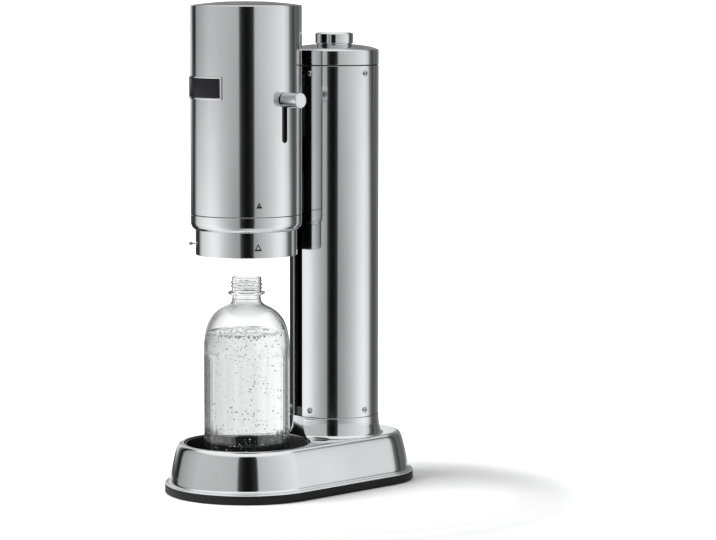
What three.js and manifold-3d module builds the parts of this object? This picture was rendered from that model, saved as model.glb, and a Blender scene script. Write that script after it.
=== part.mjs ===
// A free-standing sparkling water maker: a round head with a sliding shroud, carried in front of
// a gas column on an egg-shaped polished base, with a bottle standing in the base's drip tray.
// Millimetres, +Z up, front towards -Y, origin on the floor at the middle of the base's box.
import * as THREE from "three";
import { mergeVertices } from "three/addons/utils/BufferGeometryUtils.js";
import Module from "manifold-3d";

const wasm = await Module();
wasm.setup();

// Numbers of sides and steps.
const wideSides = 36;
const middleSides = 24;
const narrowSides = 12;
const arcSides = 6;
const sliderSides = 2;
const cornerSides = 3;
const screwSides = 8;
const baseFrontSides = 20;
const baseRearSides = 12;
const fluteCount = 10;
const fluteSides = 4;
const pipeSides = 6;
const pipeSteps = 26;
const hoseTurns = 4;
const hoseTurnSteps = 12;
const hoseSteps = 52;
const hoseSides = 6;

// Fits.
const overrun = 6;
const clearance = 0.3;
const mergeDistance = 0.0001;

// Base.
const baseHeight = 44.6;
const rimInset = 16.6;
const recessMargin = 18.6;
const baseRearMargin = 15.5;
const baseRearSetBack = 20.8;
const bandHeight = 8;
const bandThickness = 3.2;
const bandRounding = 0.9;
const floorLift = 1.5;
const floorThickness = 3;
const topPlateThickness = 1.6;
const recessLipWall = 1.4;
const recessLipDepth = 7;

// Drip tray and grille.
const trayWall = 1.6;
const trayTaper = 2.6;
const trayRimDrop = 1;
const trayGap = 0.6;
const grilleHeight = 4.7;
const grilleThickness = 2;
const grilleEdgeGap = 0.8;
const grilleRingWall = 1.8;
const grilleRingHeight = 2.2;
const grilleSlotCount = 12;
const grilleSlotWidth = 5;

// Bottle.
const bottleRadius = 38.2;
const bottleHeight = 182.2;
const bottleWall = 1.4;
const neckRadius = 12.7;
const neckBore = 10.8;
const neckRingRadius = 16.5;
const neckRingThickness = 1.5;
const finishHeight = 13;
const neckBelowRing = 7;
const shoulderHeight = 40;
const footHeight = 12;
const fluteDepth = 0.9;
const fluteRise = 6;
const fluteEndGap = 4;
const fluteTurn = 18.7;

// Column.
const columnWall = 1.5;
const columnDrop = 57.9;
const columnSlotGap = 1.1;
const columnLipDepth = 2;
const columnLipWidth = 1.4;
const collarHeight = 18;
const collarStep = 0.4;
const collarFlare = 4.3;
const collarLedge = 0.5;

// Gas cylinder and its valve.
const cylinderRadius = 30;
const cylinderSideSpace = 9;
const cylinderRearGap = 0.8;
const cylinderBottom = 5.5;
const cylinderNeckRadius = 12;
const cylinderShoulder = 18;
const cylinderValveRadius = 10.4;
const cylinderValveHeight = 18;
const cylinderValveStep = 3;
const valvePinRadius = 1.5;
const valvePinTravel = 2.8;
const valvePinLength = 26;
const valveHubWall = 4.6;
const valveHubGrip = 6;
const valveHubFloor = 6;
const valveHeadThickness = 12;
const seatRingHeight = 8.5;
const sleeveClearance = 0.5;

// Shroud, its seal and its carrier.
const shroudWall = 1.6;
const shroudBottleGap = 5.5;
const shroudRunGap = 2.7;
const bottleGap = 20.5;
const loweredGap = 0.9;
const shroudOverlap = 9.4;
const sealHeight = 5;
const sealOverhang = 4.7;
const sealOverlap = 2.2;
const carrierThickness = 3;
const carrierRimHeight = 10;
const carrierHubHeight = 8;
const nozzleRadius = 3;
const nozzleBore = 1.2;
const nozzleLength = 92;
const nozzleTipLength = 8;
const nozzleTipStep = 0.5;
const reliefValveRadius = 5.5;
const reliefValveHeight = 15;
const reliefValveGap = 3.5;
const armWidth = 10;
const armHeight = 40;
const armInset = 6.6;
const carriageWidth = 28.8;
const carriageThickness = 5.4;
const carriageHeight = 70;
const carriageCorner = 6;
const carriageSideGap = 0.6;
const guideWall = 1.5;
const guideRailWidth = 5;
const guideLipReach = 4;
const studRadius = 1.6;
const studNeckRadius = 0.8;
const studLength = 5.8;
const studHeadLength = 3;
const studRise = 9.6;
const studAngle = -35;

// Head.
const headWall = 1.5;
const shroudShown = 22.5;
const headRingHeight = 13.4;
const headRingTaper = 3.4;
const headRingTaperHeight = 6.2;
const headGapLine = 0.5;
const headSpigotHeight = 13;
const headSpigotGap = 0.6;
const shroudTopGap = 6.3;
const domeRise = 3.4;
const domeEdge = 0.8;
const rearSlotGap = 1.5;
const rearSlotMargin = 5;

// Neck between head and column.
const headColumnGap = 6.7;
const neckWidth = 12;
const neckDrop = 7;
const neckSlotGap = 2;

// Lever.
const leverAngle = 98;
const leverDrop = 85.5;
const leverTravel = 34.7;
const leverPinRadius = 2.8;
const leverSlotGap = 0.35;
const knobRadius = 6.7;
const knobLength = 19.9;
const knobEdge = 1.1;
const sliderThickness = 1.5;
const sliderHalfAngle = 9;
const sliderMargin = 8;

// Badge place.
const badgeHalfAngle = 30.1;
const badgeHeight = 20.3;
const badgeDrop = 65.2;
const badgeFrameThickness = 1;
const badgeFrameWidth = 1.7;
const badgePlateThickness = 0.6;

// Gas line.
const pipeRadius = 0.9;
const pipeBoreRadius = 1.6;
const pipePlace = 2;
const pipeBend = 2.4;
const manifoldMargin = 4;
const manifoldDepth = 22;
const manifoldHeight = 13;
const manifoldCorner = 5;
const hoseRadius = 2;
const hoseSpace = 4;

// Cap of the column.
const capGasketHeight = 0.9;
const capGasketInset = 0.8;
const capHeight = 17.6;
const capWall = 2;
const capKnobRadius = 17.3;
const capKnobHeight = 10.6;
const capPlugDepth = 8;
const capPlugWall = 2;

// Column screws.
const screwHeadRadius = 2.5;
const screwHeadHeight = 1.2;
const screwShankRadius = 1.3;
const screwInset = 6.6;
const screwAngles = [-97, -21, 21, 97, 180];

// Profiles as shares of the sizes that they follow, chosen by hand.
// Skirt of the base: inset as a share of the rim's inset, height as a share of the skirt's height.
const skirtOuterShares = [
  [0.018, 0],
  [0.02, 0.02],
  [0.13, 0.042],
  [0.24, 0.078],
  [0.283, 0.137],
  [0.325, 0.26],
  [0.422, 0.486],
  [0.542, 0.724],
  [0.62, 0.847],
  [0.693, 0.926],
  [0.795, 0.978],
  [0.916, 1],
];
const skirtInnerShares = [
  [0.74, 0.9],
  [0.45, 0.3],
  [0.37, 0.1],
  [0.19, 0.05],
  [0.19, 0],
];
// Flare of the collar: share of its reach, share of its height.
const collarShares = [
  [1, 0],
  [1, 0.02],
  [0.6, 0.1],
  [0.25, 0.3],
  [0.05, 0.58],
  [0, 0.975],
];
// Bottle's foot and shoulder: share of the body's radius, share of the foot's or shoulder's height.
const footShares = [
  [0.52, 0.3],
  [0.74, 0],
  [0.84, 0],
  [0.94, 0.22],
  [1, 0.95],
];
const shoulderShares = [
  [1, 0],
  [0.992, 0.1],
  [0.953, 0.38],
  [0.845, 0.63],
  [0.625, 0.83],
  [0.4, 0.96],
];
// Cap's outside: share of its radius, share of its height.
const capShares = [
  [1, 0],
  [1, 0.62],
  [0.992, 0.7],
  [0.965, 0.77],
  [0.9, 0.83],
  [0.7, 0.94],
  [0.45, 1],
];
// Cap's knob: share of its radius, share of its height.
const capKnobShares = [
  [0.93, 0],
  [1, 0.08],
  [1, 0.76],
  [0.97, 0.88],
  [0.9, 0.96],
  [0.8, 1],
];
// Shoulder of the gas cylinder: share of its radius, share of the shoulder's height.
const cylinderShoulderShares = [
  [1, 0],
  [0.96, 0.32],
  [0.82, 0.62],
  [0.6, 0.82],
];
// Head of a screw: share of its radius, share of its height.
const screwHeadShares = [
  [1, 0],
  [1, 0.35],
  [0.6, 1],
];
const bottleFloorShare = 0.4;
// Flutes: share of the full depth on each side of the lathe from one rib to the next.
const fluteShares = [0, 0.8, 1, 0.8];
// Ring under the head: shares of the taper's inset and of its height, from the foot up.
const ringTaperShares = [
  [1, 0],
  [0.7, 0.12],
  [0.35, 0.38],
  [0.1, 0.72],
  [0, 1],
];
const grilleHubShare = 0.3;
const grilleSlotShare = 0.92;
const armGussetShare = 0.3;

// Heights and places that follow from the sizes above.
const degree = Math.PI / 180;
const quarterTurn = 90;
const recessRadius = bottleRadius + recessMargin;
const baseFrontRadius = recessRadius + rimInset;
const shroudRadius = bottleRadius + shroudBottleGap + shroudWall;
const headRadius = shroudRadius + shroudRunGap + headWall;
const columnRadius = cylinderRadius + cylinderSideSpace + columnWall;
const cylinderSetBack = cylinderSideSpace - cylinderRearGap;
const columnSpacing = headRadius + headColumnGap + columnRadius;
const baseRearRadius = columnRadius + baseRearMargin;
const baseArcSpacing = columnSpacing + baseRearSetBack;
const valveHubRadius = cylinderValveRadius + valveHubWall;
const columnSlotWidth = armWidth + 2 * columnSlotGap;
const rearSlotWidth = armWidth + 2 * rearSlotGap;
const leverSlotWidth = 2 * leverPinRadius + 2 * leverSlotGap;
const guideWidth = carriageWidth + 2 * carriageSideGap + 2 * guideRailWidth;
const carrierRadius = shroudRadius - shroudWall - clearance;
const reliefValvePlace = carrierRadius - carrierThickness - reliefValveGap - reliefValveRadius;
const hoseCoilRadius = reliefValvePlace - reliefValveRadius - reliefValveGap - hoseRadius;
const carrierHubRadius = hoseCoilRadius - hoseRadius - hoseSpace;
const manifoldWidth = 2 * hoseCoilRadius + 2 * manifoldMargin;
const floorTop = floorLift + floorThickness;
const trayFloor = floorTop + trayWall;
const bottleBottom = trayFloor + grilleHeight;
const bottleMouth = bottleBottom + bottleHeight;
const shroudBottom = bottleMouth + bottleGap;
const shroudTravel = shroudBottom - baseHeight - loweredGap;
const headRingBottom = shroudBottom + shroudShown;
const shroudTop = headRingBottom + shroudTravel + shroudOverlap;
const headShellBottom = headRingBottom + headRingHeight + headGapLine;
const manifoldBottom = shroudTop + shroudTopGap;
const manifoldTop = manifoldBottom + manifoldHeight;
const headTop = manifoldTop + headWall + domeRise;
const headShoulder = headTop - domeRise - domeEdge;
const headInner = headRadius - headWall;
const columnBottom = baseHeight + collarHeight;
const columnTop = headTop - columnDrop;
const columnInner = columnRadius - columnWall;
const cylinderAxis = columnSpacing + cylinderSetBack;
const valveHeadBottom = columnTop - capPlugDepth - valveHeadThickness - clearance;
const valveHubBottom = valveHeadBottom - valveHubGrip - valveHubFloor;
const cylinderValveTop = valveHubBottom + valveHubGrip;
const cylinderValveBottom = cylinderValveTop - cylinderValveHeight;
const neckTop = columnTop - neckDrop;
const sealBottom = bottleMouth + shroudTravel + clearance;
const carrierBottom = sealBottom + sealHeight;
const carrierTop = carrierBottom + carrierThickness;
const carriageBottom = columnBottom + seatRingHeight + shroudTravel + clearance;
const armBottom = carriageBottom + armInset;
const rearSlotTop = armBottom + armHeight + rearSlotMargin;
const columnSlotTop = carriageBottom + carriageHeight + rearSlotMargin;
const neckBottom = columnSlotTop + neckSlotGap;
const carriageFront = -cylinderRadius + cylinderSetBack - clearance - guideWall - clearance - carriageThickness;
const leverHeight = headTop - leverDrop;
const sliderRadius = shroudRadius + headInner;
const pipeHeight = valveHeadBottom - valveHubFloor / 2;

// Materials.
function steel(colour, roughness) {
  return new THREE.MeshStandardMaterial({ color: colour, roughness, metalness: 1 });
}

function plastic(colour, roughness) {
  return new THREE.MeshStandardMaterial({ color: colour, roughness, metalness: 0 });
}

// A closed geometry with its vertices merged, as a solid for cutting and joining.
function solidOf(geometry) {
  const bare = geometry.clone();
  bare.deleteAttribute("normal");
  bare.deleteAttribute("uv");
  const merged = mergeVertices(bare, mergeDistance);
  const corners = merged.index.array;
  const kept = [];
  for (let i = 0; i < corners.length; i += 3) {
    const [a, b, c] = [corners[i], corners[i + 1], corners[i + 2]];
    if (a !== b && b !== c && c !== a) {
      kept.push(a, b, c);
    }
  }
  return new wasm.Manifold(
    new wasm.Mesh({
      numProp: 3,
      vertProperties: new Float32Array(merged.attributes.position.array),
      triVerts: new Uint32Array(kept),
    }),
  );
}

function geometryOf(solid) {
  const made = solid.getMesh();
  const geometry = new THREE.BufferGeometry();
  const places = new Float32Array(made.numVert * 3);
  for (let i = 0; i < made.numVert; i += 1) {
    places.set(made.vertProperties.subarray(i * made.numProp, i * made.numProp + 3), i * 3);
  }
  geometry.setAttribute("position", new THREE.BufferAttribute(places, 3));
  geometry.setIndex(new THREE.BufferAttribute(made.triVerts, 1));
  geometry.computeVertexNormals();
  return geometry;
}

function cut(body, ...tools) {
  return geometryOf(tools.reduce((left, tool) => left.subtract(solidOf(tool)), solidOf(body)));
}

function join(first, ...others) {
  return geometryOf(others.reduce((sum, other) => sum.add(solidOf(other)), solidOf(first)));
}

function meet(body, limit) {
  return geometryOf(solidOf(body).intersect(solidOf(limit)));
}

// Signed area of a profile in the plane of radius and height.
function turning(points) {
  return points.reduce((sum, [x, y], i) => {
    const [nextX, nextY] = points[(i + 1) % points.length];
    return sum + x * nextY - nextX * y;
  }, 0);
}

function closed(points) {
  const loop = turning(points) < 0 ? [...points].reverse() : [...points];
  return [...loop, loop[0]];
}

// A body of revolution about Z. A profile that touches the axis starts and ends there.
function revolve(points, sides) {
  const onAxis = points[0][0] === 0;
  const ordered = onAxis && turning(points) < 0 ? [...points].reverse() : points;
  const outline = onAxis ? ordered : closed(points);
  const profile = outline.map(([radius, height]) => new THREE.Vector2(radius, height));
  return new THREE.LatheGeometry(profile, sides).rotateX(Math.PI / 2);
}

function tube(outer, inner, low, high, sides) {
  return revolve(
    [
      [outer, low],
      [outer, high],
      [inner, high],
      [inner, low],
    ],
    sides,
  );
}

// Turns an angle from the front towards +X into one from +X.
function fromFront(angle) {
  return (angle - quarterTurn) * degree;
}

function rod(radius, low, high, sides) {
  return revolve(
    [
      [0, low],
      [radius, low],
      [radius, high],
      [0, high],
    ],
    sides,
  );
}

function box(width, depth, low, high) {
  return new THREE.BoxGeometry(width, depth, high - low).translate(0, 0, (low + high) / 2);
}

// A rod along +X from one distance to another at a height.
function sideRod(radius, from, to, height, sides) {
  return rod(radius, from, to, sides).rotateY(Math.PI / 2).translate(0, 0, height);
}

function extrude(shape, low, high, sides) {
  return new THREE.ExtrudeGeometry(shape, {
    depth: high - low,
    bevelEnabled: false,
    curveSegments: sides,
  }).translate(0, 0, low);
}

// The base's egg outline as stations round it: an arc in front, a smaller arc behind, and the
// straight flanks that touch both.
function baseStations() {
  const lean = Math.asin((baseFrontRadius - baseRearRadius) / baseArcSpacing);
  const flank = Math.PI / 2 + lean;
  const stations = [];
  for (let i = 0; i <= baseFrontSides; i += 1) {
    const angle = -flank + (2 * flank * i) / baseFrontSides;
    stations.push({ angle, centre: 0, radius: baseFrontRadius });
  }
  for (let i = 0; i <= baseRearSides; i += 1) {
    const angle = flank + ((2 * Math.PI - 2 * flank) * i) / baseRearSides;
    stations.push({ angle, centre: baseArcSpacing, radius: baseRearRadius });
  }
  stations.push(stations[0]);
  return stations;
}

// A profile of insets and heights carried round the base's outline.
function sweepBase(points) {
  const stations = baseStations();
  const outline = closed(points.map(([inset, height]) => [-inset, height]));
  const profile = outline.map(([reach, height]) => new THREE.Vector2(reach, height));
  const geometry = new THREE.LatheGeometry(profile, stations.length - 1).rotateX(Math.PI / 2);
  const places = geometry.attributes.position;
  for (let i = 0; i < places.count; i += 1) {
    const station = stations[Math.floor(i / outline.length)];
    const [reach, height] = outline[i % outline.length];
    const distance = station.radius + reach;
    places.setXYZ(
      i,
      distance * Math.sin(station.angle),
      station.centre - distance * Math.cos(station.angle),
      height,
    );
  }
  return geometry;
}

function basePlate(inset, low, high) {
  const points = baseStations()
    .slice(0, -1)
    .map(({ angle, centre, radius }) => {
      const distance = radius - inset;
      return new THREE.Vector2(distance * Math.sin(angle), centre - distance * Math.cos(angle));
    });
  return extrude(new THREE.Shape(points), low, high, 1);
}

// A sector of a ring, centred on an angle from the front towards +X.
function ringSector(outer, inner, middle, half, low, high, sides) {
  const shape = new THREE.Shape();
  const start = fromFront(middle - half);
  const end = fromFront(middle + half);
  shape.absarc(0, 0, outer, start, end, false);
  shape.absarc(0, 0, inner, end, start, true);
  shape.closePath();
  return extrude(shape, low, high, sides);
}

function roundedRectangle(width, depth, corner) {
  const shape = new THREE.Shape();
  const [x, y] = [width / 2, depth / 2];
  shape.moveTo(-x + corner, -y);
  shape.lineTo(x - corner, -y);
  shape.absarc(x - corner, -y + corner, corner, -Math.PI / 2, 0, false);
  shape.lineTo(x, y - corner);
  shape.absarc(x - corner, y - corner, corner, 0, Math.PI / 2, false);
  shape.lineTo(-x + corner, y);
  shape.absarc(-x + corner, y - corner, corner, Math.PI / 2, Math.PI, false);
  shape.lineTo(-x, -y + corner);
  shape.absarc(-x + corner, -y + corner, corner, Math.PI, 1.5 * Math.PI, false);
  return shape;
}

function along(points, radius, steps, sides) {
  const section = new THREE.Shape();
  section.absarc(0, 0, radius, 0, 2 * Math.PI, false);
  return new THREE.ExtrudeGeometry(section, {
    steps,
    curveSegments: sides,
    bevelEnabled: false,
    extrudePath: points,
  });
}

function addPiece(group, name, geometry, material) {
  const piece = new THREE.Mesh(geometry, material);
  piece.name = name;
  group.add(piece);
  return piece;
}

// Pressed base shell: flared skirt, rolled rim and flat top with the openings for tray and gas.
function baseShell() {
  const skirtHeight = baseHeight - bandHeight;
  const placed = ([inset, height]) => [inset * rimInset, bandHeight + height * skirtHeight];
  const skirt = sweepBase([
    ...skirtOuterShares.map(placed),
    [rimInset, baseHeight],
    [rimInset, baseHeight - topPlateThickness],
    ...skirtInnerShares.map(placed),
  ]);
  const overlap = (skirtOuterShares.at(-1)[0] * rimInset + rimInset) / 2;
  const plate = basePlate(overlap, baseHeight - topPlateThickness, baseHeight);
  const lip = tube(
    recessRadius + recessLipWall,
    recessRadius,
    baseHeight - recessLipDepth,
    baseHeight,
    wideSides,
  );
  const opening = rod(recessRadius, -overrun, baseHeight + overrun, wideSides);
  const sleeve = rod(
    cylinderRadius + sleeveClearance,
    -overrun,
    baseHeight + overrun,
    wideSides,
  ).translate(0, cylinderAxis, 0);
  return cut(join(skirt, plate, lip), opening, sleeve);
}

function footBand() {
  return sweepBase([
    [bandRounding, 0],
    [0, bandRounding],
    [0, bandHeight - bandRounding],
    [bandRounding, bandHeight],
    [bandThickness, bandHeight],
    [bandThickness, 0],
  ]);
}

// Drip tray: a tapered black cup that lifts out of the recess.
function dripTray() {
  const top = baseHeight - trayRimDrop;
  const outer = recessRadius - trayGap;
  const foot = outer - trayTaper;
  return revolve(
    [
      [0, floorTop],
      [foot - trayWall, floorTop],
      [foot, floorTop + trayWall],
      [outer, top - trayWall],
      [outer, top],
      [outer - trayWall, top],
      [foot - trayWall, trayFloor + trayWall],
      [foot - 2 * trayWall, trayFloor],
      [0, trayFloor],
    ],
    wideSides,
  );
}

// Drip grille: a slotted disc on a foot ring, with a raised ring that centres the bottle.
function dripGrille() {
  const reach = recessRadius - trayGap - trayTaper - 2 * trayWall - grilleEdgeGap;
  const ringInner = bottleRadius + grilleEdgeGap;
  const ringOuter = ringInner + grilleRingWall;
  const plateLow = bottleBottom - grilleThickness;
  const disc = revolve(
    [
      [0, plateLow],
      [reach - grilleRingWall, plateLow],
      [reach - grilleRingWall, trayFloor],
      [reach, trayFloor],
      [reach, bottleBottom],
      [ringOuter, bottleBottom],
      [ringOuter, bottleBottom + grilleRingHeight],
      [ringInner, bottleBottom + grilleRingHeight],
      [ringInner, bottleBottom],
      [0, bottleBottom],
    ],
    wideSides,
  );
  const slotInner = bottleRadius * grilleHubShare;
  const slotOuter = ringInner * grilleSlotShare;
  const slots = [];
  for (let i = 0; i < grilleSlotCount; i += 1) {
    const slot = box(slotOuter - slotInner, grilleSlotWidth, trayFloor - overrun, bottleBottom + overrun);
    slot.translate((slotInner + slotOuter) / 2, 0, 0);
    slots.push(slot.rotateZ((2 * Math.PI * i) / grilleSlotCount));
  }
  return cut(disc, ...slots);
}

// Flutes pressed into the bottle's body: each side of the lathe moves in by its share.
function pressFlutes(geometry, low, high) {
  const places = geometry.attributes.position;
  const step = (2 * Math.PI) / (fluteCount * fluteSides);
  for (let i = 0; i < places.count; i += 1) {
    const [x, y, z] = [places.getX(i), places.getY(i), places.getZ(i)];
    const end = Math.min(z - low, high - z) / fluteRise;
    if (end > 0) {
      const side = Math.round((Math.atan2(y, x) + 2 * Math.PI) / step) % fluteSides;
      const depth = fluteDepth * fluteShares[side] * Math.min(1, end);
      const share = 1 - depth / Math.hypot(x, y);
      places.setXYZ(i, x * share, y * share, z);
    }
  }
  return geometry.rotateZ(fromFront(fluteTurn) - (fluteSides * step) / 2);
}

// Bottle: pushed-up foot, fluted body, round shoulder, neck with its support ring, open mouth.
function bottle() {
  const ringTop = bottleMouth - finishHeight;
  const ringLow = ringTop - neckRingThickness;
  const shoulderTop = ringLow - neckBelowRing;
  const shoulderLow = shoulderTop - shoulderHeight;
  const foot = footShares.map(([across, up]) => [
    bottleRadius * across,
    bottleBottom + footHeight * up,
  ]);
  const shoulder = shoulderShares.map(([across, up]) => [
    bottleRadius * across,
    shoulderLow + shoulderHeight * up,
  ]);
  const fluteLow = bottleBottom + footHeight + fluteEndGap;
  const fluteHigh = shoulderLow - fluteEndGap;
  const body = [fluteLow, fluteLow + fluteRise, fluteHigh - fluteRise, fluteHigh].map((height) => [
    bottleRadius,
    height,
  ]);
  const inside = (points) =>
    points.map(([radius, height]) => [radius - bottleWall, height]).reverse();
  const innerShoulder = shoulder
    .filter((point, i) => i % 2 === 0)
    .map(([radius, height]) => [radius, height - bottleWall / 2]);
  const innerFoot = [foot[1], foot.at(-1)].map(([radius, height]) => [radius, height + bottleWall]);
  const floorHeight = bottleBottom + footHeight * bottleFloorShare;
  const blank = revolve(
    [
      [0, floorHeight],
      ...foot,
      ...body,
      ...shoulder,
      [neckRadius, shoulderTop + bottleWall],
      [neckRadius, ringLow],
      [neckRingRadius, ringLow],
      [neckRingRadius, ringTop],
      [neckRadius, ringTop],
      [neckRadius, bottleMouth],
      [neckBore, bottleMouth],
      [neckBore, shoulderTop],
      ...inside(innerShoulder),
      ...inside(innerFoot),
      [0, floorHeight + bottleWall],
    ],
    fluteCount * fluteSides,
  );
  return pressFlutes(blank, fluteLow, fluteHigh);
}

function columnCollar() {
  const outer = columnRadius + collarStep;
  const flare = collarShares.map(([out, up]) => [
    outer + collarFlare * out,
    baseHeight + collarHeight * up,
  ]);
  const ring = revolve(
    [
      ...flare,
      [outer - clearance, columnBottom],
      [columnInner - collarLedge, columnBottom],
      [columnInner - collarLedge, baseHeight],
    ],
    wideSides,
  ).translate(0, columnSpacing, 0);
  const recess = rod(recessRadius + clearance, -overrun, columnTop, wideSides);
  return cut(ring, recess);
}

// Radial holes or screws stand at the same angles and heights round the column.
function columnScrewHeights() {
  return [columnBottom + screwInset, columnTop - screwInset];
}

// The slot's long edges are folded in, as a lip on each side.
function columnLip(side) {
  const reach = columnSlotWidth / 2 + columnLipWidth;
  const root = -Math.sqrt(columnInner ** 2 - reach ** 2) - columnWall / 2;
  const depth = columnWall / 2 + columnLipDepth;
  const low = columnBottom + seatRingHeight + clearance;
  const lip = box(columnLipWidth, depth, low, columnSlotTop);
  return lip.translate(side * (reach - columnLipWidth / 2), root + depth / 2, 0);
}

function columnTube() {
  const bare = tube(columnRadius, columnInner, columnBottom, columnTop, wideSides);
  const wall = join(bare, columnLip(-1), columnLip(1));
  const slot = box(columnSlotWidth, columnRadius, columnBottom - overrun, columnSlotTop);
  slot.translate(0, -columnRadius, 0);
  const holes = columnScrewHeights().flatMap((height) =>
    screwAngles.map((angle) => {
      const from = columnInner - overrun;
      const hole = sideRod(
        screwShankRadius + clearance,
        from,
        columnRadius + overrun,
        height,
        screwSides,
      );
      return hole.rotateZ(fromFront(angle));
    }),
  );
  const pipeHole = sideRod(pipeBoreRadius, 0, columnRadius + overrun, pipeHeight, screwSides);
  pipeHole.rotateZ(-Math.PI / 2).translate(pipePlace, 0, 0);
  return cut(wall, slot, pipeHole, ...holes);
}

function columnScrew() {
  const head = screwHeadShares.map(([across, up]) => [
    screwHeadRadius * across,
    screwHeadHeight * up,
  ]);
  const reach = columnRadius - columnInner;
  return revolve(
    [
      [0, -reach - clearance],
      [screwShankRadius, -reach - clearance],
      [screwShankRadius, 0],
      ...head,
      [0, screwHeadHeight],
    ],
    screwSides,
  );
}

// Ring inside the foot of the column, bored for the gas cylinder.
function seatRing() {
  const low = columnBottom + clearance;
  const disc = rod(columnInner - clearance, low, columnBottom + seatRingHeight, wideSides);
  const bore = rod(cylinderRadius + sleeveClearance, 0, columnTop, wideSides);
  bore.translate(0, cylinderSetBack, 0);
  return cut(disc, bore);
}

// Channel behind the slot, in which the carriage slides.
function columnGuide() {
  const low = columnBottom + seatRingHeight;
  const high = valveHubBottom;
  const back = -cylinderRadius + cylinderSetBack - clearance;
  const depth = carriageThickness + 2 * clearance;
  const half = guideWidth / 2;
  const inner = half - guideRailWidth;
  const front = back - guideWall - depth - guideWall;
  const shape = new THREE.Shape([
    new THREE.Vector2(-half, back),
    new THREE.Vector2(-half, front),
    new THREE.Vector2(-inner + guideLipReach, front),
    new THREE.Vector2(-inner + guideLipReach, front + guideWall),
    new THREE.Vector2(-inner, front + guideWall),
    new THREE.Vector2(-inner, back - guideWall),
    new THREE.Vector2(inner, back - guideWall),
    new THREE.Vector2(inner, front + guideWall),
    new THREE.Vector2(inner - guideLipReach, front + guideWall),
    new THREE.Vector2(inner - guideLipReach, front),
    new THREE.Vector2(half, front),
    new THREE.Vector2(half, back),
  ]);
  return meet(extrude(shape, low, high, 1), rod(columnInner - clearance, low, high, wideSides));
}

function gasCylinder() {
  const shoulderTop = cylinderValveBottom;
  const shoulderLow = shoulderTop - cylinderShoulder;
  const edge = cylinderNeckRadius / 2;
  return revolve(
    [
      [0, cylinderBottom],
      [cylinderRadius - edge, cylinderBottom],
      [cylinderRadius, cylinderBottom + edge],
      ...cylinderShoulderShares.map(([across, up]) => [
        cylinderRadius * across,
        shoulderLow + cylinderShoulder * up,
      ]),
      [cylinderNeckRadius, shoulderTop],
      [0, shoulderTop],
    ],
    middleSides,
  ).translate(0, cylinderAxis, 0);
}

function cylinderValve() {
  const bore = valvePinRadius + clearance;
  const boreFloor = cylinderValveTop - 2 * valvePinTravel;
  const step = (cylinderValveBottom + cylinderValveTop) / 2;
  return revolve(
    [
      [0, cylinderValveBottom],
      [cylinderNeckRadius, cylinderValveBottom],
      [cylinderNeckRadius, step - cylinderValveStep],
      [cylinderValveRadius, step],
      [cylinderValveRadius, cylinderValveTop],
      [bore, cylinderValveTop],
      [bore, boreFloor],
      [0, boreFloor],
    ],
    narrowSides,
  ).translate(0, cylinderAxis, 0);
}

// Valve head: a disc that closes the column's top, with a hub gripping the cylinder's valve.
function valveHead() {
  const top = valveHeadBottom + valveHeadThickness;
  const disc = rod(columnInner - clearance, valveHeadBottom, top, wideSides);
  disc.translate(0, columnSpacing, 0);
  const hubTop = valveHeadBottom + valveHeadThickness / 2;
  const hub = rod(valveHubRadius, valveHubBottom, hubTop, narrowSides);
  hub.translate(0, cylinderAxis, 0);
  const socket = rod(
    cylinderValveRadius + clearance,
    valveHubBottom - overrun,
    cylinderValveTop,
    narrowSides,
  ).translate(0, cylinderAxis, 0);
  const pinBore = rod(valvePinRadius + clearance, 0, columnTop, narrowSides);
  pinBore.translate(0, cylinderAxis, 0);
  return cut(join(disc, hub), socket, pinBore);
}

function valvePin() {
  const low = cylinderValveTop - valvePinTravel / 2;
  return rod(valvePinRadius, low, low + valvePinLength, screwSides).translate(0, cylinderAxis, 0);
}

// Neck block between head and column, hollowed to both round walls and bored for the gas pipe.
function neckBlock() {
  const block = box(neckWidth, columnSpacing, neckBottom, neckTop);
  block.translate(0, columnSpacing / 2, 0);
  const headSide = rod(headRadius + clearance, 0, headTop, wideSides);
  const columnSide = rod(columnRadius + clearance, 0, headTop, wideSides);
  columnSide.translate(0, columnSpacing, 0);
  const bore = sideRod(pipeBoreRadius, -overrun, columnSpacing + overrun, pipeHeight, screwSides);
  bore.rotateZ(Math.PI / 2).translate(pipePlace, 0, 0);
  return cut(block, headSide, columnSide, bore);
}

function rearSlot(low, high) {
  const slot = box(rearSlotWidth, headRadius, low, high);
  return slot.translate(0, headRadius, 0);
}

// Head shell: drawn tube with a low domed top, lever slot at its side and arm slot behind.
function headShell() {
  const innerTop = headTop - headWall;
  const shell = revolve(
    [
      [0, headTop],
      [headRadius / 2, headTop - domeRise / 4],
      [headRadius - domeEdge, headShoulder + domeEdge],
      [headRadius, headShoulder],
      [headRadius, headShellBottom],
      [headInner, headShellBottom],
      [headInner, headShoulder - headWall],
      [0, innerTop],
    ],
    wideSides,
  );
  const slotReach = headRadius + overrun;
  const half = leverSlotWidth / 2;
  const slotTop = leverHeight + clearance;
  const slotLow = leverHeight - leverTravel - clearance;
  const slot = box(slotReach, leverSlotWidth, slotLow, slotTop);
  slot.translate(slotReach / 2, 0, 0);
  const upper = sideRod(half, 0, slotReach, slotTop, narrowSides);
  const lower = sideRod(half, 0, slotReach, slotLow, narrowSides);
  const leverSlot = join(slot, upper, lower).rotateZ(fromFront(leverAngle));
  const pipeHole = sideRod(pipeBoreRadius + pipeBend, 0, slotReach, pipeHeight, screwSides);
  pipeHole.rotateZ(Math.PI / 2).translate(pipePlace, 0, 0);
  return cut(shell, leverSlot, pipeHole, rearSlot(0, rearSlotTop));
}

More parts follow.
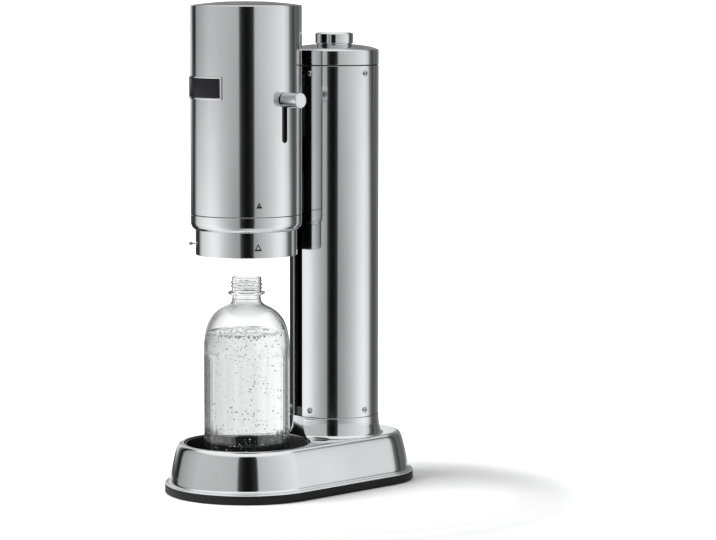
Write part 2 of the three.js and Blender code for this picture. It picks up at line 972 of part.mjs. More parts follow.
// Ring under the head shell: same width, tapered in to the shroud, with a spigot in the shell.
function headRing() {
  const bore = shroudRadius + headSpigotGap;
  const spigot = headInner - clearance;
  const top = headRingBottom + headRingHeight;
  const taper = ringTaperShares.map(([across, up]) => [
    headRadius - headRingTaper * across,
    headRingBottom + headRingTaperHeight * up,
  ]);
  const ring = revolve(
    [
      [bore, headRingBottom],
      ...taper,
      [headRadius, top],
      [spigot, top],
      [spigot, headShellBottom + headSpigotHeight],
      [bore, headShellBottom + headSpigotHeight],
    ],
    wideSides,
  );
  return cut(ring, rearSlot(0, headTop));
}

function badgeFrame() {
  const inner = headRadius + clearance / 2;
  const outer = inner + badgeFrameThickness;
  const low = headTop - badgeDrop - badgeHeight;
  const high = headTop - badgeDrop;
  const rimAngle = badgeFrameWidth / headRadius / degree;
  const frame = ringSector(outer, inner, 0, badgeHalfAngle, low, high, arcSides);
  const window = ringSector(
    outer + overrun,
    inner - overrun,
    0,
    badgeHalfAngle - rimAngle,
    low + badgeFrameWidth,
    high - badgeFrameWidth,
    arcSides,
  );
  return cut(frame, window);
}

function badgePlate() {
  const inner = headRadius + clearance / 2;
  const inset = badgeFrameWidth + clearance;
  const insetAngle = inset / headRadius / degree;
  const low = headTop - badgeDrop - badgeHeight + inset;
  const high = headTop - badgeDrop - inset;
  const half = badgeHalfAngle - insetAngle;
  return ringSector(inner + badgePlateThickness, inner, 0, half, low, high, arcSides);
}

// Lever, drawn with its pin along +X: round knob outside, curved slider inside the head's wall.
function leverKnob() {
  const root = headRadius + 2 * clearance;
  return revolve(
    [
      [0, root],
      [knobRadius - knobEdge / 2, root],
      [knobRadius, root + knobEdge / 2],
      [knobRadius, root + knobLength - knobEdge],
      [knobRadius - knobEdge / 3, root + knobLength - knobEdge / 3],
      [knobRadius - knobEdge, root + knobLength],
      [0, root + knobLength],
    ],
    narrowSides,
  ).rotateY(Math.PI / 2);
}

function leverSlider() {
  const middle = sliderRadius / 2;
  const outer = middle + sliderThickness / 2;
  const inner = middle - sliderThickness / 2;
  const reach = leverTravel + sliderMargin;
  const plate = ringSector(outer, inner, quarterTurn, sliderHalfAngle, -reach, reach, sliderSides);
  const pin = sideRod(leverPinRadius, middle, headRadius + 2 * clearance, 0, narrowSides);
  return join(plate, pin);
}

// Small-bore gas line: from the valve head through the neck, up behind the shroud, over to the
// manifold under the dome.
function gasPipe() {
  const start = cylinderAxis - Math.sqrt(valveHubRadius ** 2 - pipePlace ** 2) - 2 * clearance;
  const rise = Math.sqrt((sliderRadius / 2) ** 2 - pipePlace ** 2);
  const end = manifoldDepth / 2 + clearance;
  const top = manifoldBottom + manifoldHeight / 2;
  const at = (y, z) => new THREE.Vector3(pipePlace, y, z);
  const path = new THREE.CurvePath();
  path.add(new THREE.LineCurve3(at(start, pipeHeight), at(rise + pipeBend, pipeHeight)));
  path.add(
    new THREE.QuadraticBezierCurve3(
      at(rise + pipeBend, pipeHeight),
      at(rise, pipeHeight),
      at(rise, pipeHeight + pipeBend),
    ),
  );
  path.add(new THREE.LineCurve3(at(rise, pipeHeight + pipeBend), at(rise, top - pipeBend)));
  path.add(
    new THREE.QuadraticBezierCurve3(
      at(rise, top - pipeBend),
      at(rise, top),
      at(rise - pipeBend, top),
    ),
  );
  path.add(new THREE.LineCurve3(at(rise - pipeBend, top), at(end, top)));
  return along(path, pipeRadius, pipeSteps, pipeSides / 2);
}

// Coiled hose between the fixed manifold and the seal carrier that travels with the shroud: its
// ends stand straight on what they meet.
function hosePoints() {
  const low = carrierTop + clearance;
  const high = manifoldBottom - clearance;
  const straight = 2 * hoseRadius;
  const coilLow = low + straight + hoseRadius;
  const coilHigh = high - straight - hoseRadius;
  const count = hoseTurns * hoseTurnSteps;
  const points = [new THREE.Vector3(hoseCoilRadius, 0, low)];
  points.push(new THREE.Vector3(hoseCoilRadius, 0, low + straight));
  for (let i = 1; i < count; i += 1) {
    const angle = (2 * Math.PI * i) / hoseTurnSteps;
    points.push(
      new THREE.Vector3(
        hoseCoilRadius * Math.cos(angle),
        hoseCoilRadius * Math.sin(angle),
        coilLow + ((coilHigh - coilLow) * i) / count,
      ),
    );
  }
  points.push(new THREE.Vector3(hoseCoilRadius, 0, high - straight));
  points.push(new THREE.Vector3(hoseCoilRadius, 0, high));
  return points;
}

// Least distance between the hose's surface and itself half a turn or more further along.
function hoseGap(path) {
  const places = path.getSpacedPoints(hoseTurns * hoseTurnSteps * 2);
  const apart = hoseTurnSteps;
  let least = Infinity;
  places.forEach((place, i) => {
    places.slice(i + apart).forEach((other) => {
      least = Math.min(least, place.distanceTo(other));
    });
  });
  return least - 2 * hoseRadius;
}

function hoseCoil() {
  const path = new THREE.CatmullRomCurve3(hosePoints());
  console.log("least gap between the hose's turns, mm:", hoseGap(path).toFixed(2));
  return along(path, hoseRadius, hoseSteps, hoseSides / 2);
}

function shroudTube() {
  const edge = shroudWall / 4;
  return revolve(
    [
      [shroudRadius - shroudWall, shroudBottom],
      [shroudRadius - edge, shroudBottom],
      [shroudRadius, shroudBottom + edge],
      [shroudRadius, shroudTop],
      [shroudRadius - shroudWall, shroudTop],
    ],
    wideSides,
  );
}

// Seal carrier: a dished disc across the shroud with a hub for the nozzle.
function sealCarrier() {
  const bore = nozzleRadius + clearance;
  return revolve(
    [
      [bore, carrierBottom],
      [carrierRadius, carrierBottom],
      [carrierRadius, carrierBottom + carrierRimHeight],
      [carrierRadius - carrierThickness / 2, carrierBottom + carrierRimHeight],
      [carrierRadius - carrierThickness, carrierTop],
      [carrierHubRadius, carrierTop],
      [carrierHubRadius - carrierThickness / 2, carrierTop + carrierHubHeight],
      [bore, carrierTop + carrierHubHeight],
    ],
    middleSides,
  );
}

// Small headed stud on the shroud, drawn standing on its root.
function shroudStud() {
  const edge = studRadius / 3;
  return revolve(
    [
      [0, clearance / 2],
      [studNeckRadius, clearance / 2],
      [studNeckRadius, studLength - studHeadLength],
      [studRadius, studLength - studHeadLength],
      [studRadius, studLength - edge],
      [studRadius - edge, studLength],
      [0, studLength],
    ],
    screwSides,
  );
}

// Arm from the shroud back through the column's slot to the carriage, in the middle plane.
function carrierArm() {
  const rear = columnSpacing + carriageFront;
  const gusset = armHeight * armGussetShare;
  const front = shroudRadius - shroudWall;
  const side = new THREE.Shape([
    new THREE.Vector2(front, armBottom),
    new THREE.Vector2(rear, armBottom + gusset / 2),
    new THREE.Vector2(rear, armBottom + armHeight - gusset / 4),
    new THREE.Vector2(front, armBottom + armHeight),
  ]);
  const blade = new THREE.ExtrudeGeometry(side, { depth: armWidth, bevelEnabled: false });
  blade.translate(0, 0, -armWidth / 2);
  blade.applyMatrix4(
    new THREE.Matrix4().makeBasis(
      new THREE.Vector3(0, 1, 0),
      new THREE.Vector3(0, 0, 1),
      new THREE.Vector3(1, 0, 0),
    ),
  );
  const shroud = rod(shroudRadius + clearance, 0, headTop, wideSides);
  return cut(blade, shroud);
}

function carriage() {
  const top = carriageBottom + carriageHeight;
  const shape = roundedRectangle(carriageWidth, carriageHeight, carriageCorner);
  const plate = new THREE.ExtrudeGeometry(shape, {
    depth: carriageThickness,
    bevelEnabled: false,
    curveSegments: cornerSides,
  });
  plate.rotateX(Math.PI / 2);
  return plate.translate(
    0,
    columnSpacing + carriageFront + carriageThickness,
    (carriageBottom + top) / 2,
  );
}

function capShell() {
  const low = columnTop + capGasketHeight;
  const outside = capShares.map(([across, up]) => [columnRadius * across, low + capHeight * up]);
  const shelf = low + capHeight / 2;
  return revolve(
    [[0, low + capHeight], ...outside.reverse(), [columnInner, low], [columnInner - capWall, shelf], [0, shelf]],
    wideSides,
  );
}

function capKnob() {
  const low = columnTop + capGasketHeight + capHeight;
  const outside = capKnobShares.map(([across, up]) => [
    capKnobRadius * across,
    low + capKnobHeight * up,
  ]);
  return revolve([[0, low], ...outside, [0, low + capKnobHeight]], middleSides);
}

function capPlug() {
  const outer = columnInner - clearance;
  const low = columnTop - capPlugDepth;
  return tube(outer, outer - capPlugWall, low, columnTop, middleSides);
}

// Assembly. The bottle's axis is the working axis; the whole is shifted so that the origin lies
// at the middle of the base's box.
const machine = new THREE.Group();
machine.position.y = (baseFrontRadius - baseArcSpacing - baseRearRadius) / 2;

const base = new THREE.Group();
machine.add(base);
addPiece(base, "base_shell", baseShell(), steel(0xc9cbcd, 0.2));
addPiece(base, "foot_band", footBand(), plastic(0x1b1b1c, 0.7));
const floorInset = bandThickness + clearance;
addPiece(base, "base_floor", basePlate(floorInset, floorLift, floorTop), plastic(0x202021, 0.6));
addPiece(base, "column_collar", columnCollar(), steel(0xd0d2d4, 0.16));

const tray = new THREE.Group();
machine.add(tray);
addPiece(tray, "drip_tray", dripTray(), plastic(0x141415, 0.35));
addPiece(tray, "drip_grille", dripGrille(), plastic(0x1a1a1b, 0.4));
const bottleGroup = new THREE.Group();
tray.add(bottleGroup);
const clear = new THREE.MeshStandardMaterial({
  color: 0xf2f5f6,
  roughness: 0.05,
  metalness: 0,
  transparent: true,
  opacity: 0.3,
});
addPiece(bottleGroup, "bottle", bottle(), clear);

const column = new THREE.Group();
column.position.y = columnSpacing;
machine.add(column);
addPiece(column, "column_tube", columnTube(), steel(0xb9bcbf, 0.28));
addPiece(column, "seat_ring", seatRing(), plastic(0x202021, 0.6));
addPiece(column, "column_guide", columnGuide(), plastic(0x161617, 0.5));
columnScrewHeights().forEach((height, row) => {
  screwAngles.forEach((angle, place) => {
    const screw = addPiece(
      column,
      "column_screw_" + ["low", "high"][row] + "_" + (place + 1),
      columnScrew().translate(0, 0, columnRadius + clearance / 2),
      steel(0x8e9194, 0.3),
    );
    screw.position.z = height;
    screw.rotation.set(Math.PI / 2, angle * degree, 0, "ZXY");
  });
});

const gas = new THREE.Group();
machine.add(gas);
addPiece(gas, "gas_cylinder", gasCylinder(), plastic(0x8b8f93, 0.4));
addPiece(gas, "cylinder_valve", cylinderValve(), steel(0xb39a5c, 0.35));
addPiece(gas, "valve_head", valveHead(), plastic(0x202021, 0.5));
addPiece(gas, "valve_pin", valvePin(), steel(0xb39a5c, 0.3));
addPiece(gas, "gas_pipe", gasPipe(), steel(0xa5a7a9, 0.3));
const manifoldShape = roundedRectangle(manifoldWidth, manifoldDepth, manifoldCorner);
addPiece(
  gas,
  "gas_manifold",
  extrude(manifoldShape, manifoldBottom, manifoldTop, cornerSides),
  plastic(0x2a2a2b, 0.5),
);

const head = new THREE.Group();
machine.add(head);
addPiece(head, "neck_block", neckBlock(), steel(0x8d9093, 0.35));
addPiece(head, "head_shell", headShell(), steel(0xb9bcbf, 0.28));
addPiece(head, "head_ring", headRing(), steel(0xcbcdcf, 0.2));
addPiece(head, "badge_frame", badgeFrame(), steel(0xd7d9db, 0.15));
addPiece(head, "badge_plate", badgePlate(), plastic(0x0d0d0e, 0.25));

const lever = new THREE.Group();
lever.position.z = leverHeight;
lever.rotation.z = fromFront(leverAngle);
head.add(lever);
addPiece(lever, "lever_knob", leverKnob(), steel(0xc8cacc, 0.25));
addPiece(lever, "lever_slider", leverSlider(), plastic(0x1d1d1e, 0.5));

const shroud = new THREE.Group();
machine.add(shroud);
addPiece(shroud, "shroud_tube", shroudTube(), steel(0xbfc2c4, 0.26));
addPiece(shroud, "seal_carrier", sealCarrier(), plastic(0x222223, 0.5));
addPiece(
  shroud,
  "bottle_seal",
  tube(neckRadius + sealOverhang, neckBore - sealOverlap, sealBottom, carrierBottom, middleSides),
  plastic(0x2b2b2c, 0.8),
);
const nozzleTop = carrierTop + carrierHubHeight + clearance;
const nozzleLow = carrierBottom - nozzleLength;
addPiece(
  shroud,
  "nozzle_tube",
  tube(nozzleRadius, nozzleBore, nozzleLow, nozzleTop, narrowSides),
  steel(0xc2c4c6, 0.25),
);
addPiece(
  shroud,
  "nozzle_tip",
  tube(nozzleRadius + nozzleTipStep, nozzleBore, nozzleLow - nozzleTipLength, nozzleLow, narrowSides),
  plastic(0x18181a, 0.5),
);
addPiece(
  shroud,
  "relief_valve",
  rod(reliefValveRadius, carrierTop + clearance, carrierTop + reliefValveHeight, narrowSides).translate(
    -reliefValvePlace,
    0,
    0,
  ),
  steel(0xb39a5c, 0.35),
);
addPiece(shroud, "gas_hose_coil", hoseCoil(), plastic(0x9a9a98, 0.5));
addPiece(shroud, "carrier_arm", carrierArm(), steel(0x9c9fa2, 0.35));
addPiece(shroud, "carriage", carriage(), plastic(0x19191a, 0.5));
const stud = addPiece(
  shroud,
  "shroud_stud",
  shroudStud().translate(0, 0, shroudRadius),
  steel(0xa0a2a4, 0.3),
);
stud.position.z = shroudBottom + studRise;
stud.rotation.set(Math.PI / 2, studAngle * degree, 0, "ZXY");

const cap = new THREE.Group();
cap.position.y = columnSpacing;
machine.add(cap);
addPiece(
  cap,
  "cap_gasket",
  tube(columnRadius - capGasketInset, columnInner, columnTop, columnTop + capGasketHeight, wideSides),
  plastic(0x0f0f10, 0.7),
);
addPiece(cap, "cap_shell", capShell(), steel(0xb5b8bb, 0.26));
addPiece(cap, "cap_knob", capKnob(), steel(0xc3c5c7, 0.25));
addPiece(cap, "cap_plug", capPlug(), plastic(0x1c1c1d, 0.5));

export default machine;
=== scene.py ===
import math
import random

import bmesh
import bpy
from mathutils import Matrix, Vector


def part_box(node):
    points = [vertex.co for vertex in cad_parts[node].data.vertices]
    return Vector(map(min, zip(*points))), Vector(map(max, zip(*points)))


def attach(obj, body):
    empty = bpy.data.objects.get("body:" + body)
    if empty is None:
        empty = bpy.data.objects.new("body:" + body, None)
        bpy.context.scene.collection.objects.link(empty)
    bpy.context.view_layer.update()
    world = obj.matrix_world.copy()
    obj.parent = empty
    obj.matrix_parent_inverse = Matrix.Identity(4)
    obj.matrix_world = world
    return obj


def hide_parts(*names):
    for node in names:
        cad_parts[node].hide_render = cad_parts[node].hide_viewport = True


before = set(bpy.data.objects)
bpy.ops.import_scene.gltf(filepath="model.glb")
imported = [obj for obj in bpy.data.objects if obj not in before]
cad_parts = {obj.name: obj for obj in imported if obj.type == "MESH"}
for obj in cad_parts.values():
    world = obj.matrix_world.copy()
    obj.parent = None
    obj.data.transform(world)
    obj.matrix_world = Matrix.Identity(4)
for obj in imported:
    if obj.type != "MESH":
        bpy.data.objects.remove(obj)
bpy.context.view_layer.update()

# Numbers of sides, steps and repeated shapes.
WIDE_SIDES = 288
BOTTLE_SIDES = 240
FLOOR_SIDES = 128
SMALL_SIDES = 96
SCREW_SIDES = 32
SHELL_ARC_SIDES = (170, 110)
BAND_ARC_SIDES = (150, 96)
FILLET_STEPS = 8
BADGE_COLUMNS = 60
BOTTLE_ROWS = 44
FLUTE_COUNT = 10
BUBBLE_COUNT = 620
FROTH_COUNT = 420
BUBBLE_SEED = 11

# Sizes that the CAD's boxes don't give.
SUPPORT = 0.00035
OVERRUN = 0.004
WALL = 0.0015
EDGE = 0.0004
SLOT_EDGE = 0.00025
COLUMN_SLOT = 0.0122
REAR_SLOT = 0.013
REAR_SLOT_MARGIN = 0.005
STRIP_WIDTH = 0.03
STRIP_RISE = 0.0002
PIPE_RADIUS = 0.0009
PIPE_BORE = 0.0016
PIPE_BEND = 0.0024
PIPE_PLACE = 0.002
SHARP_ANGLE = math.radians(32)
LEVER_AZIMUTH = math.radians(98)
STUD_AZIMUTH = math.radians(-35)
MARK_AZIMUTH = math.radians(68.3)
FLUTE_AZIMUTH = math.radians(18.7)
SCREW_AZIMUTHS = [math.radians(a) for a in (-97, -21, 21, 97, 180)]


def low(node):
    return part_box(node)[0]


def high(node):
    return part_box(node)[1]


def radius_of(node):
    return (high(node).x - low(node).x) / 2


def middle(node):
    return (low(node).z + high(node).z) / 2


def ends(node):
    return low(node).z, high(node).z


# Places read from the CAD's boxes.
HEAD_RADIUS = radius_of("head_shell")
HEAD_AXIS = Vector((0, low("head_shell").y + HEAD_RADIUS, 0))
COLUMN_RADIUS = radius_of("column_tube")
COLUMN_AXIS = Vector((0, high("column_tube").y - COLUMN_RADIUS, 0))
BASE_LOW, BASE_TOP = ends("base_shell")
BAND_TOP = high("foot_band").z
FRONT_RADIUS = radius_of("foot_band")
RIM_INSET = 0.0166
RECESS_RADIUS = FRONT_RADIUS - RIM_INSET
REAR_RADIUS = COLUMN_RADIUS + 0.0155
REAR_AXIS = Vector((0, high("foot_band").y - REAR_RADIUS, 0))
REAR_SLOT_TOP = high("carrier_arm").z + REAR_SLOT_MARGIN
PIPE_HEIGHT = low("gas_pipe").z + PIPE_RADIUS


# Materials.
def new_material(name, **values):
    """A Principled material whose uniform values stand on the shader's own sockets."""
    material = bpy.data.materials.new(name)
    material.use_nodes = True
    shader = material.node_tree.nodes["Principled BSDF"]
    for socket, value in values.items():
        shader.inputs[socket.replace("_", " ")].default_value = value
    return material, material.node_tree, shader


def add_node(tree, kind, **values):
    """A node with the named properties or sockets set."""
    node = tree.nodes.new(kind)
    for name, value in values.items():
        if hasattr(node, name):
            setattr(node, name, value)
        else:
            node.inputs[name.replace("_", " ")].default_value = value
    return node


def object_coordinates(tree, scale=(1.0, 1.0, 1.0), shift=(0.0, 0.0, 0.0)):
    source = add_node(tree, "ShaderNodeTexCoord")
    mapping = add_node(tree, "ShaderNodeMapping", Location=shift, Scale=scale)
    tree.links.new(source.outputs["Object"], mapping.inputs["Vector"])
    return mapping.outputs["Vector"]


def noise(tree, vector, scale, detail, roughness=0.5):
    texture = add_node(tree, "ShaderNodeTexNoise", Scale=scale, Detail=detail, Roughness=roughness)
    tree.links.new(vector, texture.inputs["Vector"])
    return texture.outputs["Fac"]


def map_range(tree, value, **limits):
    """A value carried from one range over to another; limits that aren't given are 0 and 1."""
    spread = add_node(tree, "ShaderNodeMapRange", **limits)
    tree.links.new(value, spread.inputs["Value"])
    return spread.outputs["Result"]


def ramp(tree, value, stops, interpolation="LINEAR"):
    """A colour ramp from (place, grey level or colour) stops."""
    node = add_node(tree, "ShaderNodeValToRGB")
    node.color_ramp.interpolation = interpolation
    elements = node.color_ramp.elements
    elements[0].position, elements[1].position = stops[0][0], stops[-1][0]
    for place, level in stops[1:-1]:
        elements.new(place)
    for element, (place, level) in zip(elements, stops):
        element.position = place
        element.color = (*level, 1) if isinstance(level, tuple) else (level, level, level, 1)
    tree.links.new(value, node.inputs["Fac"])
    return node.outputs["Color"]


def colour_by(tree, shader, value, colour, stops):
    """Sets the shader's colour, made darker or lighter by (place, share) stops."""
    levels = [(place, tuple(min(1, c * share) for c in colour)) for place, share in stops]
    tree.links.new(ramp(tree, value, levels), shader.inputs["Base Color"])


def roughen_by(tree, shader, value, low_end, high_end):
    """Sets the shader's roughness between two ends."""
    rough = map_range(tree, value, To_Min=low_end, To_Max=high_end)
    tree.links.new(rough, shader.inputs["Roughness"])


def bump_by(tree, shader, height, strength, distance):
    """Sets the shader's fine relief."""
    lift = add_node(tree, "ShaderNodeBump", Strength=strength, Distance=distance)
    tree.links.new(height, lift.inputs["Height"])
    tree.links.new(lift.outputs["Normal"], shader.inputs["Normal"])


def steel(name, colour, roughness, spread, streak, bump):
    """Polished sheet steel: hairlines run round the body, with faint cloudy wear."""
    material, tree, shader = new_material(name, Metallic=1.0)
    hair = noise(tree, object_coordinates(tree, (0.06, 0.06, 1.0)), streak, 3.0, 0.6)
    cloud = noise(tree, object_coordinates(tree, (1.0, 1.0, 0.5)), 26.0, 4.0, 0.55)
    mixed = add_node(tree, "ShaderNodeMix", data_type="FLOAT", Factor=0.45)
    tree.links.new(hair, mixed.inputs["A"])
    tree.links.new(cloud, mixed.inputs["B"])
    roughen_by(tree, shader, mixed.outputs["Result"], roughness - spread, roughness + spread)
    colour_by(tree, shader, cloud, colour, [(0.25, 0.94), (0.75, 1.03)])
    bump_by(tree, shader, hair, bump, 0.00004)
    return material


def moulded(name, colour, roughness, grain, bump, **values):
    """Moulded plastic or rubber with a fine grain and slightly uneven gloss."""
    material, tree, shader = new_material(name, **values)
    vector = object_coordinates(tree)
    fine = noise(tree, vector, grain, 4.0, 0.6)
    wide = noise(tree, vector, 38.0, 3.0)
    colour_by(tree, shader, wide, colour, [(0.3, 0.82), (0.7, 1.15)])
    roughen_by(tree, shader, wide, roughness - 0.06, roughness + 0.06)
    bump_by(tree, shader, fine, bump, 0.0002)
    return material


# Painted shade: the share of a clear wall's colour that is kept, falling as the wall turns edge on.
EDGE_SHADE_LEVELS = [(0.0, 1.0), (0.3, 1.0), (0.42, 0.86), (0.56, 0.6), (0.72, 0.38), (0.92, 0.2)]


def clear(name, ior, tint, rim, gloss, grain, bump):
    """Clear plastic, water or air; rim is the share of the painted edge-on shade that applies."""
    sockets = {"IOR": ior, "Transmission_Weight": 1.0, "Specular_IOR_Level": gloss}
    material, tree, shader = new_material(name, **sockets)
    # Painted shade: the wall's colour darkens where it is seen edge on.
    edge_shade_mask = add_node(tree, "ShaderNodeLayerWeight", Blend=0.5)
    stops = [(place, 1 - rim * (1 - level)) for place, level in EDGE_SHADE_LEVELS]
    colour_by(tree, shader, edge_shade_mask.outputs["Facing"], tint, stops)
    wave = noise(tree, object_coordinates(tree, (1.0, 1.0, 0.35)), grain, 2.0)
    roughen_by(tree, shader, wave, 0.0, 0.02)
    bump_by(tree, shader, wave, bump, 0.0008)
    return material


POLISHED = steel("steel_polished", (0.63, 0.635, 0.64), 0.09, 0.025, 900.0, 0.04)
SATIN = steel("steel_satin", (0.61, 0.615, 0.62), 0.11, 0.03, 1300.0, 0.06)
DARK_STEEL = steel("steel_dark", (0.46, 0.465, 0.47), 0.22, 0.05, 1500.0, 0.1)
BRASS = steel("brass_turned", (0.62, 0.48, 0.22), 0.28, 0.05, 1500.0, 0.1)
RUBBER = moulded("rubber_black", (0.005, 0.005, 0.0053), 0.55, 2600.0, 0.12, Specular_IOR_Level=0.2)
PLASTIC = moulded("plastic_black", (0.005, 0.005, 0.0053), 0.32, 3000.0, 0.1, Specular_IOR_Level=0.35)
GLOSS = moulded("badge_black", (0.003, 0.003, 0.0035), 0.3, 1500.0, 0.02, Specular_IOR_Level=0.12)
LACQUER = moulded("cylinder_lacquer", (0.33, 0.34, 0.36), 0.36, 900.0, 0.04, Metallic=0.4)
HOSE = moulded("hose_grey", (0.33, 0.33, 0.32), 0.42, 1600.0, 0.08)
# The bottle's wall takes the full painted edge shade; water and bubbles take none.
PET = clear("bottle_clear", 1.52, (0.992, 0.995, 0.995), 1.0, 0.35, 60.0, 0.05)
WATER = clear("water", 1.333, (0.996, 0.998, 1.0), 0.0, 0.15, 30.0, 0.02)
AIR = clear("bubble", 0.76, (0.42, 0.43, 0.44), 0.0, 0.5, 60.0, 0.0)


# Shapes.
def new_object(name, data):
    made = bpy.data.objects.new(name, data)
    bpy.context.scene.collection.objects.link(made)
    return made


def object_of(name, mesh):
    """An object made of a working mesh, which is freed."""
    data = bpy.data.meshes.new(name)
    mesh.to_mesh(data)
    mesh.free()
    return new_object(name, data)


def moved(piece, matrix):
    piece.data.transform(matrix)
    return piece


def placed(piece, place):
    return moved(piece, Matrix.Translation(place))


def fillets(corners):
    """Corners (radius, height, rounding) as points, each rounding as an arc."""
    points = []
    count = len(corners)
    for i, (x, y, rounding) in enumerate(corners):
        here = Vector((x, y))
        before = Vector(corners[i - 1][:2])
        after = Vector(corners[(i + 1) % count][:2])
        back, ahead = before - here, after - here
        angle = back.angle(ahead, math.pi)
        if rounding <= 0 or angle > math.pi - 0.02:
            points.append(here)
            continue
        reach = min(rounding / math.tan(angle / 2), back.length * 0.49, ahead.length * 0.49)
        start = here + back.normalized() * reach
        end = here + ahead.normalized() * reach
        # The weight of the corner keeps the arc round.
        weight = math.sin(angle / 2)
        for step in range(FILLET_STEPS + 1):
            t = step / FILLET_STEPS
            a, b, c = (1 - t) ** 2, 2 * t * (1 - t) * weight, t**2
            points.append((start * a + here * b + end * c) / (a + b + c))
    return points


def supported(points, closed):
    """Adds points close to both ends of each long edge, so that smooth shading stays true."""
    made = []
    pairs = list(zip(points, points[1:]))
    if closed:
        pairs.append((points[-1], points[0]))
    for start, end in pairs:
        made.append(start)
        edge = end - start
        if edge.length > 4 * SUPPORT:
            made.append(start + edge.normalized() * SUPPORT)
            made.append(end - edge.normalized() * SUPPORT)
    if not closed:
        made.append(points[-1])
    return made


def stations_round(sides):
    """Directions, centres and radii round a circle about the Z axis."""
    angles = [2 * math.pi * i / sides for i in range(sides)]
    return [(Vector((math.cos(a), math.sin(a), 0)), Vector((0, 0, 0)), 0.0) for a in angles]


def stations_egg(front_sides, rear_sides):
    """Directions, centres and radii round the base's outline, as in the CAD."""
    spacing = REAR_AXIS.y - HEAD_AXIS.y
    flank = math.pi / 2 + math.asin((FRONT_RADIUS - REAR_RADIUS) / spacing)
    arcs = (
        (-flank, 2 * flank, front_sides, HEAD_AXIS, FRONT_RADIUS),
        (flank, 2 * math.pi - 2 * flank, rear_sides, REAR_AXIS, REAR_RADIUS),
    )
    made = []
    for start, turn, sides, centre, radius in arcs:
        for i in range(sides + 1):
            a = start + turn * i / sides
            made.append((Vector((math.sin(a), -math.cos(a), 0)), centre, radius))
    return made


def swept(name, profile, stations, closed=True, fill=False):
    """A profile of (reach, height) carried round stations; fill closes its two ends with faces."""
    mesh = bmesh.new()
    rings = []
    for reach, height in profile:
        if not closed and abs(reach) < 1e-9 and stations[0][2] == 0.0:
            rings.append([mesh.verts.new((0, 0, height))])
            continue
        ring = []
        for direction, centre, radius in stations:
            place = centre + direction * (radius + reach)
            ring.append(mesh.verts.new((place.x, place.y, height)))
        rings.append(ring)
    pairs = list(zip(rings, rings[1:]))
    if closed:
        pairs.append((rings[-1], rings[0]))
    count = len(stations)
    for first, second in pairs:
        for i in range(count):
            corners = []
            for ring, k in ((first, i), (first, i + 1), (second, i + 1), (second, i)):
                vertex = ring[k % count % len(ring)]
                if vertex not in corners:
                    corners.append(vertex)
            if len(corners) > 2:
                mesh.faces.new(corners)
    if fill:
        mesh.faces.new(rings[0])
        mesh.faces.new(rings[-1])
    bmesh.ops.recalc_face_normals(mesh, faces=mesh.faces)
    return object_of(name, mesh)


def revolved(name, corners, sides=WIDE_SIDES):
    """A body of revolution from corners (radius, height, rounding)."""
    closed = corners[0][0] > 0
    points = supported(fillets(corners), closed)
    return swept(name, [(p.x, p.y) for p in points], stations_round(sides), closed)


def tube(name, outer, inner, low_end, high_end, edge=EDGE, sides=WIDE_SIDES):
    corners = ((outer, low_end), (outer, high_end), (inner, high_end), (inner, low_end))
    return revolved(name, [(r, z, edge) for r, z in corners], sides)


def rod(name, radius, low_end, high_end, sides=SCREW_SIDES, edge=0):
    corners = [(0, low_end, 0), (radius, low_end, edge), (radius, high_end, edge), (0, high_end, 0)]
    return revolved(name, corners, sides)


def block(name, width, depth, low_end, high_end):
    mesh = bmesh.new()
    bmesh.ops.create_cube(mesh, size=1)
    size = Matrix.Diagonal((width, depth, high_end - low_end, 1))
    return moved(object_of(name, mesh), Matrix.Translation((0, 0, (low_end + high_end) / 2)) @ size)


def wall_block(name, width, reach, low_end, high_end):
    """A block across a round wall that lies at the distance reach along Y."""
    return placed(block(name, width, abs(reach), low_end, high_end), (0, reach, 0))


def applied(piece):
    """The piece with its modifiers worked into its mesh."""
    graph = bpy.context.evaluated_depsgraph_get()
    data = bpy.data.meshes.new_from_object(piece.evaluated_get(graph))
    piece.modifiers.clear()
    piece.data = data
    return piece


def bevelled(piece, width, segments):
    bevel = piece.modifiers.new("edge", "BEVEL")
    bevel.width = width
    bevel.segments = segments
    bevel.angle_limit = SHARP_ANGLE
    return applied(piece)


def carved(piece, cutters, operation="DIFFERENCE"):
    """The piece less its cutters, or with INTERSECT what it shares with them."""
    for cutter in cutters:
        modifier = piece.modifiers.new("work", "BOOLEAN")
        modifier.operation = operation
        modifier.solver = "EXACT"
        modifier.object = cutter
        applied(piece)
        bpy.data.objects.remove(cutter)
    return piece


def finished(piece, material, body, replaces=(), place=None):
    """Shades a piece smooth with true edges, and fixes its place, finish and body."""
    if place is not None:
        placed(piece, place)
    piece.data.materials.clear()
    piece.data.materials.append(material)
    piece.data.shade_smooth()
    piece.data.set_sharp_from_angle(angle=SHARP_ANGLE)
    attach(piece, body)
    if replaces:
        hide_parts(*replaces)
    return piece


def towards(azimuth):
    """Turns a shape drawn along +X towards an azimuth from the front, counted towards +X."""
    return Matrix.Rotation(azimuth - math.pi / 2, 4, "Z")


def laid(piece, reach, height, azimuth):
    """Lays a shape drawn up +Z outwards at an azimuth, from a distance and a height."""
    stand = Matrix.Translation((reach, 0, height)) @ Matrix.Rotation(math.pi / 2, 4, "Y")
    return moved(piece, towards(azimuth) @ stand)


def side_rod(name, radius, start, end, height, azimuth):
    return laid(rod(name, radius, start, end), 0, height, azimuth)


# Base.
def skirt_points(shares):
    """Points from shares of the rim's inset and of the skirt's height."""
    return [(-x * RIM_INSET, BASE_LOW + y * (BASE_TOP - BASE_LOW)) for x, y in shares]


